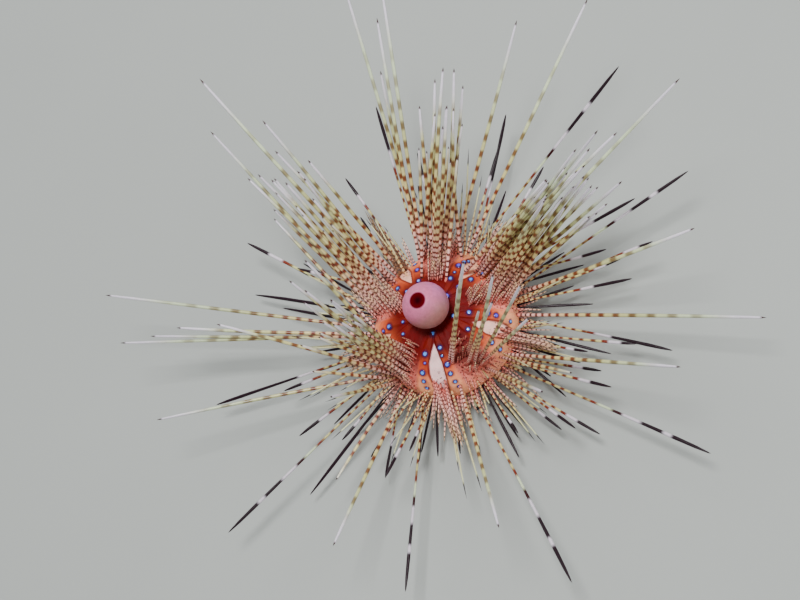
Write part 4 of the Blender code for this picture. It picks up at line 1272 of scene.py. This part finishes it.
class UrchinShell(bpy.types.PropertyGroup):
    """Sizes and colours of the skin on the shell."""
    inset: length_property(
        "Inset", "How far the skin lies inside the shell's outline", 0.00025, 0.001,
    )
    arm_rise: length_property(
        "Arm rise", "How far the spotted arms of each furrow stand up", 0.00032, 0.001,
    )
    leaf_depth: length_property("Leaf depth", "How far each pale leaf lies in", 0.00022, 0.001)
    coral: colour_property("Coral", "The skin's main colour", (230, 98, 56))
    deep_red: colour_property("Deep red", "Round the anal sac and beside the leaves", (98, 4, 6))
    pink: colour_property("Pink", "Between the rows of spines", (240, 140, 128))
    peach: colour_property("Peach", "The arms near the waist", (255, 176, 130))
    leaf: colour_property("Leaf", "The pale leaf in each furrow", (255, 208, 206))
    under: colour_property("Under side", "Below the waist", (128, 44, 30))


class UrchinSpots(bpy.types.PropertyGroup):
    """Sizes and colours of the blue spots."""
    radius: length_property("Radius", "A full-sized spot's radius", 0.0006, 0.002, 0.0001)
    rise: length_property("Rise", "How far a spot stands up", 0.00016, 0.001)
    azure: colour_property("Azure", "The middle of most spots", (84, 158, 255))
    lilac: colour_property("Lilac", "The middle of the other spots", (104, 82, 240))
    violet: colour_property("Violet", "The rim of a spot", (38, 10, 96))


class UrchinSac(bpy.types.PropertyGroup):
    """Sizes and colours of the anal sac."""
    opening: length_property("Opening", "Radius of the opening", 0.0018, 0.003, 0.0005)
    depth: length_property("Depth", "How deep the opening goes in", 0.0004, 0.003)
    lilac: colour_property("Lilac", "The membrane's upper part", (208, 112, 150))
    beige: colour_property("Beige", "The membrane's lower part", (164, 108, 104))
    maroon: colour_property("Maroon", "The opening", (84, 4, 14))
    # Painted shade: the opening's middle is painted in this colour where the opening goes in
    dark: colour_property("Dark", "The middle of the opening", (34, 2, 8))


class UrchinSpines(bpy.types.PropertyGroup):
    """Numbers and colours of the spines."""
    fills: FloatProperty(
        name="Fan density", default=1.0, min=0, max=3,
        description="Share of the spines that fill the fans besides those named",
    )
    leaf_fills: count_property("Leaf tuft spines", "How many small spines grow below each leaf", 26)
    under_spacing: length_property(
        "Under spacing", "From one under spine to the next", 0.002, 0.01, 0.001,
    )
    waist_fills: count_property(
        "Waist spines", "How many small spines grow on each segment's waist", 12,
    )
    cream: colour_property("Cream", "Light bands near the root", (240, 200, 148))
    straw: colour_property("Straw", "Light bands farther out", (216, 198, 132))
    olive_cream: colour_property("Olive cream", "Light bands in mid-length", (200, 200, 138))
    green_white: colour_property("Green white", "The outer length", (206, 218, 180))
    blue_white: colour_property("Lilac white", "The end", (226, 218, 230))
    white: colour_property("White", "White rings of the low spines", (216, 206, 216))
    pink: colour_property("Pink", "The root of a spine", (226, 118, 106))
    pale_pink: colour_property("Pale pink", "Small spines", (252, 194, 180))
    maroon: colour_property("Maroon", "Dots at the root", (50, 4, 10))
    red_brown: colour_property("Red brown", "Dark bands near the root", (116, 40, 20))
    orange_brown: colour_property("Orange brown", "Dark bands in mid-length", (118, 58, 24))
    olive_brown: colour_property("Olive brown", "Dark bands farther out", (110, 82, 42))
    black: colour_property("Black purple", "Black parts", (30, 5, 20))


class UrchinStage(bpy.types.PropertyGroup):
    """The floor and the lights."""
    floor: colour_property("Floor", "The floor's colour", (168, 172, 168))
    key: power_property("Key light", "Power of the main light", 4.0)
    fill: power_property("Fill light", "Power of the fill light", 1.2)
    rim: power_property("Rim light", "Power of the rear light", 1.4)
    sky: FloatProperty(
        name="Room light", description="Strength of the room's own light", default=0.36, min=0,
    )


SETTINGS = {
    "urchin_shell": UrchinShell, "urchin_spots": UrchinSpots, "urchin_sac": UrchinSac,
    "urchin_spines": UrchinSpines, "urchin_stage": UrchinStage,
}


# The skin

def step(value, low, high):
    """Goes smoothly from 0 to 1 as an array goes from low to high."""
    share = np.clip((value - low) / (high - low), 0, 1)
    return share * share * (3 - 2 * share)


def furrow_offset(azimuth):
    """How far each azimuth lies from the nearest furrow's middle, and which furrow that is."""
    offsets = np.stack([(azimuth - furrow + 180) % 360 - 180 for furrow in FURROWS])
    which = np.argmin(np.abs(offsets), axis=0)
    return np.take_along_axis(offsets, which[None], axis=0)[0], which


def leaf_side(offset, t, which):
    """How far a place lies inside a pale leaf's edge, in degrees, less than 0 outside."""
    start, wide = np.array(LEAF_STARTS)[which], np.array(LEAF_HALVES)[which]
    down = (t - start) / (1 - start)
    half = wide * np.interp(down, LEAF_STATIONS, LEAF_WIDTHS)
    return half - np.abs(offset - LEAF_SWEEP * step(t, 0.45, 1.0))


def leaf_share(offset, t, which):
    """1 on a pale leaf, 0 off it."""
    start = np.array(LEAF_STARTS)[which]
    inside = step(leaf_side(offset, t, which), -0.5, 0.5)
    return inside * step(t, start, start + 0.03) * step(t, 1.08, 0.98)


def leaf_rim(offset, t, which):
    """1 on the dark line round a pale leaf."""
    start = np.array(LEAF_STARTS)[which]
    edge = step(np.abs(leaf_side(offset, t, which) + 0.9), 1.6, 0.5)
    return edge * step(t, start - 0.03, start + 0.05) * step(t, 1.0, 0.8)


def arm_share(offset, t):
    """1 on the spotted arms beside a leaf and at their join above it."""
    inner, outer = np.interp(t, ARM_STATIONS, ARM_INNER), np.interp(t, ARM_STATIONS, ARM_OUTER)
    aside = np.abs(offset)
    beside = step(aside, inner - 1.5, inner + 1.5) * step(aside, outer + 2, outer - 2)
    return beside * step(t, 0.13, 0.2)


def relief(offset, t, which, look):
    """How far the skin stands over the shell's outline, in millimetres."""
    arms = arm_share(offset, t) * step(t, 1.1, 0.85)
    rise = arms * look.arm_rise - leaf_share(offset, t, which) * look.leaf_depth - look.inset
    rows = np.abs(np.sin(np.radians(offset) * GROOVE_WAVES[0] + t * GROOVE_WAVES[1]))
    rows = rows * step(np.abs(offset), 19, 23) * GROOVE_DEPTH
    lumps = np.sin(np.radians(offset * LUMP_WAVES[0]) + 3) * np.sin(t * LUMP_WAVES[1]) * LUMP_RISE
    return (rise + lumps - rows) / MM - DISC_SINK * step(t, 0.2, 0.12)


class URCHIN_OT_skin(bpy.types.Operator):
    """One skin over the shell, the apical disc and the mouth's membrane"""
    bl_idname = "urchin.skin"
    bl_label = "Skin"

    def execute(self, context):
        look = context.scene.urchin_shell
        start_alone()
        bpy.ops.mesh.primitive_uv_sphere_add(
            segments=SKIN_SEGMENTS, ring_count=SKIN_RINGS, radius=1, location=(0, 0, 0),
        )
        item = context.object
        mesh = item.data
        points = np.empty(len(mesh.vertices) * 3)
        mesh.vertices.foreach_get("co", points)
        points = points.reshape(-1, 3)
        ring_t, _ = even_rings(SKIN_RINGS + 1)
        level = np.degrees(np.arccos(np.clip(points[:, 2], -1, 1))) / 180
        t = np.interp(level, np.linspace(0, 1, SKIN_RINGS + 1), ring_t)
        azimuth = np.degrees(np.arctan2(points[:, 1], points[:, 0]))
        offset, which = furrow_offset(azimuth)
        radius, height = outlines(t)
        before = outlines(np.maximum(t - SLOPE_STEP, 0))
        after = outlines(np.minimum(t + SLOPE_STEP, 2))
        run, drop = after[0] - before[0], before[1] - after[1]
        size = np.maximum(np.hypot(run, drop), 1e-9)
        lift = relief(offset, t, which, look) * np.minimum(radius / 1.5, 1)
        radius = radius + lift * drop / size
        height = height + lift * run / size
        mouth = step(radius, *MOUTH_EDGE) * (t > UNDER_FROM)
        lip = np.exp(-((radius - LIP_RADIUS) / LIP_WIDTH) ** 2) * (t > UNDER_FROM)
        height = height + MOUTH_RISE * mouth - LIP_DROP * lip
        placed = np.stack([
            radius * np.cos(np.radians(azimuth)) + AXIS.x / MM,
            radius * np.sin(np.radians(azimuth)) + AXIS.y / MM, height,
        ], axis=1) * MM
        mesh.vertices.foreach_set("co", placed.ravel())
        mesh.uv_layers[0].name = "OFBake"
        colours = self.colours(look, azimuth, offset, which, t, radius)
        colours = np.concatenate([colours, np.ones((len(t), 1))], axis=1)
        layer = mesh.color_attributes.new("skin", "FLOAT_COLOR", "POINT")
        layer.data.foreach_set("color", colours.ravel())
        pale, rows = leaf_share(offset, t, which), step(np.abs(offset), 19, 22)
        set_values(mesh, {
            "dots": np.clip(pale * step(t, 0.52, 0.64) + rows * step(t, 0.3, 0.4), 0, 1),
            "patchy": 0.45 * (1 - pale) * step(t, 0.95, 0.7),
        })
        replaced = ["apical_disc", "peristome", *SEGMENTS]
        finished(item, "skin", self.material(), replaced)
        return {"FINISHED"}

    def colours(self, look, azimuth, offset, which, t, radius):
        """The skin's markings at each point, as linear colours."""
        rows, pale = step(np.abs(offset), 17, 22), leaf_share(offset, t, which)
        markings = [
            (look.pink, rows * step(t, 0.3, 0.55) * 0.85),
            (look.deep_red, rows * step(t, 0.6, 0.36) * 0.8),
            (look.deep_red, rows * self.dark_rows(azimuth) * step(t, 0.85, 0.45) * 0.8),
            (look.peach, (1 - rows) * step(t, 0.5, 0.8) * 0.9),
            (look.peach, rows * step(t, 0.7, 0.95) * 0.6),
            (look.deep_red, (1 - rows) * step(t, 0.64, 0.38) * 0.6),
            (look.deep_red, step(t, 0.5, 0.32) * (1 - 0.15 * arm_share(offset, t))),
            (look.deep_red, step(t, 0.25, 0.15) * 0.9),
            (look.deep_red, leaf_rim(offset, t, which) * 0.85),
            (look.leaf, pale),
            (look.peach, pale * np.array(LEAF_CREAMS)[which]),
            (look.under, step(t, 1.02, 1.3)),
            (look.deep_red, step(radius, 6.2, 5.0) * (t > UNDER_FROM) * 0.6),
        ]
        for spots, furrow in zip(SPOTS, FURROWS):
            for aside, at, size in spots:
                across = np.radians(turned_by(azimuth, furrow + aside)) * outline(at)[0]
                far = np.hypot(across, (t - at) * T_LENGTH)
                markings.append((shade(*SPOT_HALO), step(far, 1.15 * size, 0.6 * size) * 0.8))
        found = np.tile(np.array(look.coral), (len(t), 1))
        for colour, share in markings:
            found += (np.array(colour) - found) * share[:, None]
        return found

    def dark_rows(self, azimuth):
        """1 on the two ambulacra whose short spines leave the dark skin bare, 0 elsewhere."""
        near = [step(np.abs(turned_by(azimuth, middle)), 26, 16) for middle in DARK_ROWS]
        return np.max(near, axis=0)

    def material(self):
        """Mottled, with darker patches on the coral, fine dots on the leaves and a soft grain."""
        nodes = Nodes("coral_skin")
        mottle = nodes.level(nodes.noise(360.0, 6.0, 0.72), 0.45, 1.5)
        colour = nodes.lit(nodes.colour_attribute("skin"), mottle)
        patch = nodes.smooth(nodes.noise(260.0, 3.0), 0.5, 0.68)
        patch = nodes.math("MULTIPLY", patch, nodes.attribute("patchy"))
        colour = nodes.mix(patch, colour, shade(*DARK_PATCH))
        cells = nodes.add("ShaderNodeTexVoronoi", {"Vector": nodes.place(), "Scale": 1500.0})
        dot = nodes.smooth(cells.outputs["Distance"], 0.36, 0.24)
        dot = nodes.math("MULTIPLY", dot, nodes.attribute("dots"))
        colour = nodes.mix(nodes.math("MULTIPLY", dot, 0.85), colour, shade(*LEAF_DOT))
        grain = nodes.math("ADD", nodes.noise(1500.0, 4.0), nodes.math("MULTIPLY", dot, 0.6))
        nodes.bump(grain, 0.25, 0.0003)
        nodes.give(nodes.shader.inputs["Subsurface Radius"], (1.0, 0.35, 0.2))
        nodes.give(nodes.shader.inputs["Subsurface Scale"], 0.0008)
        return nodes.finish(colour, 0.6, Subsurface_Weight=0.12, Specular_IOR_Level=0.12)


class URCHIN_OT_anal_sac(bpy.types.Operator):
    """The ball-shaped anal sac with its opening"""
    bl_idname = "urchin.anal_sac"
    bl_label = "Anal sac"

    def execute(self, context):
        look = context.scene.urchin_sac
        start_alone()
        bpy.ops.mesh.primitive_uv_sphere_add(
            segments=128, ring_count=96, radius=1, location=(0, 0, 0),
        )
        item = context.object
        mesh = item.data
        points = np.array([vert.co for vert in mesh.vertices])
        angle = np.degrees(np.arccos(np.clip(points[:, 2], -1, 1)))
        edge = math.degrees(math.asin(look.opening / MM / SAC_RADIUS))
        inside = step(angle, edge * 1.1, edge * 0.9)
        sunk = step(angle, edge, edge * 0.2)
        lip = np.exp(-((angle - edge * 1.15) / (edge * 0.2)) ** 2)
        length = SAC_RADIUS + 0.04 * lip - sunk * look.depth / MM
        body = points * length[:, None]
        lean = Vector((0, 0, 1)).rotation_difference(SAC_OPENING).to_matrix()
        body = body @ np.array(lean).T
        low = step(body[:, 2], -0.9 * SAC_RADIUS, -SAC_RADIUS)
        body[:, 2] -= SAC_FOOT * low
        placed = (body + np.array(SAC_CENTRE)) * MM + np.array(AXIS)
        mesh.vertices.foreach_set("co", placed.ravel())
        mesh.uv_layers[0].name = "OFBake"
        # depth is 1 in the middle of the opening, and the material paints shade by it
        set_values(mesh, {"opening": inside, "depth": step(angle, edge * 0.9, 0)})
        finished(item, "sac", self.material(look), ["anal_sac"])
        return {"FINISHED"}

    def material(self, look):
        """Lilac above, beige below and violet on one side, with a dull maroon opening that is
        painted darker towards its deep middle as painted shade.
        """
        nodes = Nodes("sac_membrane")
        place = nodes.add("ShaderNodeSeparateXYZ", {0: nodes.place()}).outputs
        mixed = nodes.math("ADD", place["Z"], place["Y"])
        low = (SAC_CENTRE.z - 3.6) * MM + AXIS.y
        share = nodes.smooth(mixed, low, low + 6.5 * MM)
        colour = nodes.mix(share, look.beige, look.lilac)
        edge = (SAC_CENTRE.x + SAC_RADIUS) * MM
        right = nodes.smooth(place["X"], SAC_CENTRE.x * MM, edge, 0.0, 0.4)
        colour = nodes.mix(right, colour, shade(*SAC_VIOLET))
        grain = nodes.noise(1300.0, 5.0, 0.7)
        colour = nodes.lit(colour, nodes.level(grain, 0.6, 1.32))
        # The opening is its own maroon at the edge, with painted shade darkening it to the dark
        # colour at its deep middle
        opening = nodes.mix(nodes.attribute("depth"), look.maroon, look.dark)
        colour = nodes.mix(nodes.attribute("opening"), colour, opening)
        nodes.bump(grain, 0.12, 0.0003)
        nodes.give(nodes.shader.inputs["Subsurface Radius"], (1.0, 0.5, 0.45))
        nodes.give(nodes.shader.inputs["Subsurface Scale"], 0.0014)
        skin = nodes.smooth(nodes.attribute("opening"), 0.6, 0.0)
        return nodes.finish(
            colour, nodes.math("MULTIPLY_ADD", skin, -0.35, 0.8),
            Subsurface_Weight=nodes.math("MULTIPLY", skin, 0.3),
            Specular_IOR_Level=nodes.math("MULTIPLY", skin, 0.4),
        )


class URCHIN_OT_blue_spots(bpy.types.Operator):
    """The blue spots, low domes with a violet rim"""
    bl_idname = "urchin.blue_spots"
    bl_label = "Blue spots"

    def execute(self, context):
        look, shell = context.scene.urchin_spots, context.scene.urchin_shell
        form = drawn_out(SPOT_SIDES, SPOT_MODEL, pointed=False)
        points = []
        for which, (spots, furrow) in enumerate(zip(SPOTS, FURROWS)):
            for aside, at, size in spots:
                point, normal = surface(furrow + aside, at)
                centre = point + normal * float(relief(aside, at, which, shell))
                matrix = np.array(normal.to_track_quat("Z", "Y").to_matrix())
                wide = size * look.radius / MM
                scale = np.array([wide, wide, look.rise / MM])
                points.append((form.points * scale) @ matrix.T + np.array(centre))
        count = len(points)
        radial = np.clip(np.hypot(form.points[:, 0], form.points[:, 1]), 0, 1)
        tones = np.random.default_rng(SPOT_SEED).uniform(0, 1, count)
        values = {"rim": np.tile(radial, count), "tone": np.repeat(tones, len(radial))}
        columns = math.ceil(math.sqrt(count))
        index = np.arange(count)
        local = form.points[form.corners][:, :2] * 0.45 + 0.5
        u = (index % columns)[:, None] / columns + local[:, 0][None] / columns
        v = (index // columns)[:, None] / columns + local[:, 1][None] / columns
        item = tiled("blue_spots", form, np.array(points), values, u, v)
        finished(item, "blue_spots", self.material(look))
        return {"FINISHED"}

    def material(self, look):
        """Azure or lilac with a violet rim and a wet coat, with a faint painted glow: an emission
        of their own colour.
        """
        nodes = Nodes("blue_spot")
        rim = nodes.attribute("rim")
        pale = nodes.mix(nodes.smooth(nodes.attribute("tone"), 0.55, 0.9), look.azure, look.lilac)
        colour = nodes.mix(nodes.smooth(rim, 0.38, 0.72), pale, look.violet)
        nodes.bump(nodes.noise(4000.0, 2.0), 0.2, 0.0001)
        # Painted glow: the spots give off a little light of their own colour, though they are no
        # lamp
        return nodes.finish(
            colour, 0.22, Coat_Weight=0.4, Coat_Roughness=0.1,
            Emission_Color=colour, Emission_Strength=0.12,
        )


class URCHIN_OT_teeth(bpy.types.Operator):
    """The five teeth, curved and narrowing to their tips"""
    bl_idname = "urchin.teeth"
    bl_label = "Teeth"

    def execute(self, context):
        form = drawn_out(TOOTH_SIDES, TOOTH_MODEL)
        base = frame_teeth()
        count = len(base)
        points = []
        for root, tip, out in base:
            way = tip - root
            across = way.cross(out).normalized()
            for x, y, z in form.points:
                curve = out * (TOOTH_CURVE * math.sin(max(z, 0) * math.pi / 2))
                aside = across * (x * TOOTH_HALVES[0]) + out * (y * TOOTH_HALVES[1])
                points.append(root + way * z + aside + curve)
        points = np.array([tuple(point) for point in points]).reshape(count, -1, 3)
        u = (np.arange(count)[:, None] + 0.1 + 0.66 * form.around[None]) / count
        height = np.clip(form.points[form.corners][:, 2] * 0.5 + 0.47, 0, 1)
        share = np.tile(np.clip(form.points[:, 2], 0, 1), count)
        item = tiled(
            "teeth", form, points, {"share": share}, u, np.repeat(height[None], count, axis=0),
        )
        replaced = [f"tooth_{i}" for i in range(1, RAYS + 1)]
        finished(item, "teeth", self.material(), replaced)
        return {"FINISHED"}

    def material(self):
        """Ivory, paler at the tip, with a fine grain."""
        nodes = Nodes("tooth_ivory")
        colour = nodes.mix(nodes.attribute("share"), shade(*TOOTH_ROOT), shade(*TOOTH_TIP))
        colour = nodes.lit(colour, nodes.level(nodes.noise(2500.0), 0.9, 1.06))
        nodes.bump(nodes.noise(5000.0), 0.15, 0.0001)
        return nodes.finish(colour, 0.3)


def frame_teeth():
    """Root, tip and outward way of each tooth, from the teeth of the frame."""
    found = []
    for number, furrow in enumerate(FURROWS, start=1):
        low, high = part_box(f"tooth_{number}")
        out = turn(furrow)
        root = out * TOOTH_REACHES[0] + Vector((0, 0, high.z / MM))
        tip = out * TOOTH_REACHES[1] + Vector((0, 0, low.z / MM))
        found.append((root, tip, out))
    return found


class URCHIN_OT_fan_spines(bpy.types.Operator):
    """The long banded spines of the five fans, one piece for each fan"""
    bl_idname = "urchin.fan_spines"
    bl_label = "Fan spines"

    def execute(self, context):
        look = context.scene.urchin_spines
        standing = all_spines(look.fills)
        spines = of_kind(standing, "fan") + near_sheaf(standing)
        material = fan_material(look)
        for number, middle in enumerate(AMBULACRA, start=1):
            own = [
                spine for spine in spines
                if abs(turned_by(azimuth_of(spine.root), middle)) <= RAY_STEP / 2
            ]
            spine_piece(f"fan_{number}", "fan", own, material, number)
        rows = of_kind(standing, "row") + fine_rows(spines)
        spine_piece("row_spines", "row", rows, row_material(look), patches=True)
        return {"FINISHED"}


class URCHIN_OT_low_spines(bpy.types.Operator):
    """The low spines: ringed, tipped, black and thin ones, and the feet"""
    bl_idname = "urchin.low_spines"
    bl_label = "Low spines"

    def execute(self, context):
        look = context.scene.urchin_spines
        standing = all_spines(look.fills)
        blacks = [spine._replace(mark=ALL_BLACK) for spine in of_kind(standing, "black")]
        tipped, thin = tipped_material(look), thin_material(look)
        spine_piece("ringed_spines", "ringed", of_kind(standing, "ringed"), ringed_material(look))
        spine_piece("tipped_spines", "tipped", of_kind(standing, "tipped"), tipped)
        spine_piece("black_spines", "black", blacks, tipped)
        spine_piece("thin_spines", "thin", of_kind(standing, "thin"), thin)
        spine_piece("feet", "foot", feet(), thin)
        return {"FINISHED"}


class URCHIN_OT_fine_spines(bpy.types.Operator):
    """The fine spines between the long ones"""
    bl_idname = "urchin.fine_spines"
    bl_label = "Fine spines"

    def execute(self, context):
        look = context.scene.urchin_spines
        spines = of_kind(all_spines(look.fills), "fine")
        spines += slender_spines(look.leaf_fills, look.waist_fills)
        spines += under_spines(look.under_spacing / MM)
        spine_piece("fine_spines", "fine", spines, fine_material(look), patches=True)
        return {"FINISHED"}


class URCHIN_OT_stage(bpy.types.Operator):
    """The floor, the lights and the camera"""
    bl_idname = "urchin.stage"
    bl_label = "Floor, lights and camera"

    def execute(self, context):
        look = context.scene.urchin_stage
        start_alone()
        bpy.ops.mesh.primitive_plane_add(size=FLOOR_SIZE, location=(0, 0, 0))
        floor = context.object
        floor.name = "floor"
        nodes = Nodes("floor")
        colour = nodes.lit((*look.floor, 1), nodes.level(nodes.noise(30.0, 4.0), 0.97, 1.02))
        floor.data.materials.append(nodes.finish(colour, 0.8))
        axes = Matrix(view_axes()).transposed()
        target = AXIS + Vector((0, 0, TOP_HEIGHT * MM))
        self.lamp("key_light", target + axes @ KEY_PLACE, target, KEY_SIZE, look.key)
        self.lamp("fill_light", target + axes @ FILL_PLACE, target, FILL_SIZE, look.fill)
        self.lamp("rim_light", target + RIM_PLACE, target, RIM_SIZE, look.rim)
        world = bpy.data.worlds.new("room")
        world.use_nodes = True
        background = world.node_tree.nodes["Background"].inputs
        background["Color"].default_value = ROOM_COLOUR
        background["Strength"].default_value = look.sky
        context.scene.world = world
        self.camera(context, target)
        return {"FINISHED"}

    def lamp(self, name, place, target, size, power):
        """A square lamp that faces a place."""
        bpy.ops.object.light_add(type="AREA", location=place)
        lamp = bpy.context.object
        lamp.name = name
        lamp.data.size = size
        lamp.data.energy = power
        lamp.rotation_euler = (place - target).to_track_quat("Z", "Y").to_euler()

    def camera(self, context, target):
        """The camera at the picture's angle, with the shell's top at its place in the frame."""
        back, across, upward = view_axes()
        bpy.ops.object.camera_add(location=target + back * VIEW_DISTANCE * MM)
        camera = context.object
        camera.name = "camera"
        camera.rotation_euler = Matrix((across, upward, back)).transposed().to_euler()
        camera.data.lens = LENS
        camera.data.sensor_width = LENS_FRAME
        camera.data.clip_start, camera.data.clip_end = CLIP_RANGE
        camera.data.shift_x = -(VIEW_CENTRE[0] - PICTURE_WIDTH / 2) / PICTURE_WIDTH
        camera.data.shift_y = (VIEW_CENTRE[1] - PICTURE_HEIGHT / 2) / PICTURE_WIDTH
        context.scene.camera = camera


STEPS = (
    URCHIN_OT_skin, URCHIN_OT_anal_sac, URCHIN_OT_blue_spots, URCHIN_OT_teeth, URCHIN_OT_fan_spines,
    URCHIN_OT_low_spines, URCHIN_OT_fine_spines, URCHIN_OT_stage,
)


class URCHIN_PT_panel(bpy.types.Panel):
    """The urchin's sizes, colours and steps"""
    bl_idname = "URCHIN_PT_panel"
    bl_label = "Blue-spotted sea urchin"
    bl_space_type = "VIEW_3D"
    bl_region_type = "UI"
    bl_category = "Urchin"

    def draw(self, context):
        for key, group in SETTINGS.items():
            box = self.layout.box()
            box.label(text=key.replace("urchin_", "").capitalize())
            for name in group.__annotations__:
                box.prop(getattr(context.scene, key), name)
        for made in STEPS:
            self.layout.operator(made.bl_idname)


def register():
    for group in SETTINGS.values():
        bpy.utils.register_class(group)
    for key, group in SETTINGS.items():
        setattr(bpy.types.Scene, key, PointerProperty(type=group))
    for made in (*STEPS, URCHIN_PT_panel):
        bpy.utils.register_class(made)


def unregister():
    for made in (URCHIN_PT_panel, *reversed(STEPS)):
        bpy.utils.unregister_class(made)
    for key, group in SETTINGS.items():
        delattr(bpy.types.Scene, key)
        bpy.utils.unregister_class(group)


def main():
    register()
    bpy.ops.urchin.skin()
    bpy.ops.urchin.anal_sac()
    bpy.ops.urchin.blue_spots()
    bpy.ops.urchin.teeth()
    bpy.ops.urchin.fan_spines()
    bpy.ops.urchin.low_spines()
    bpy.ops.urchin.fine_spines()
    bpy.ops.urchin.stage()


if __name__ == "__main__":
    main()
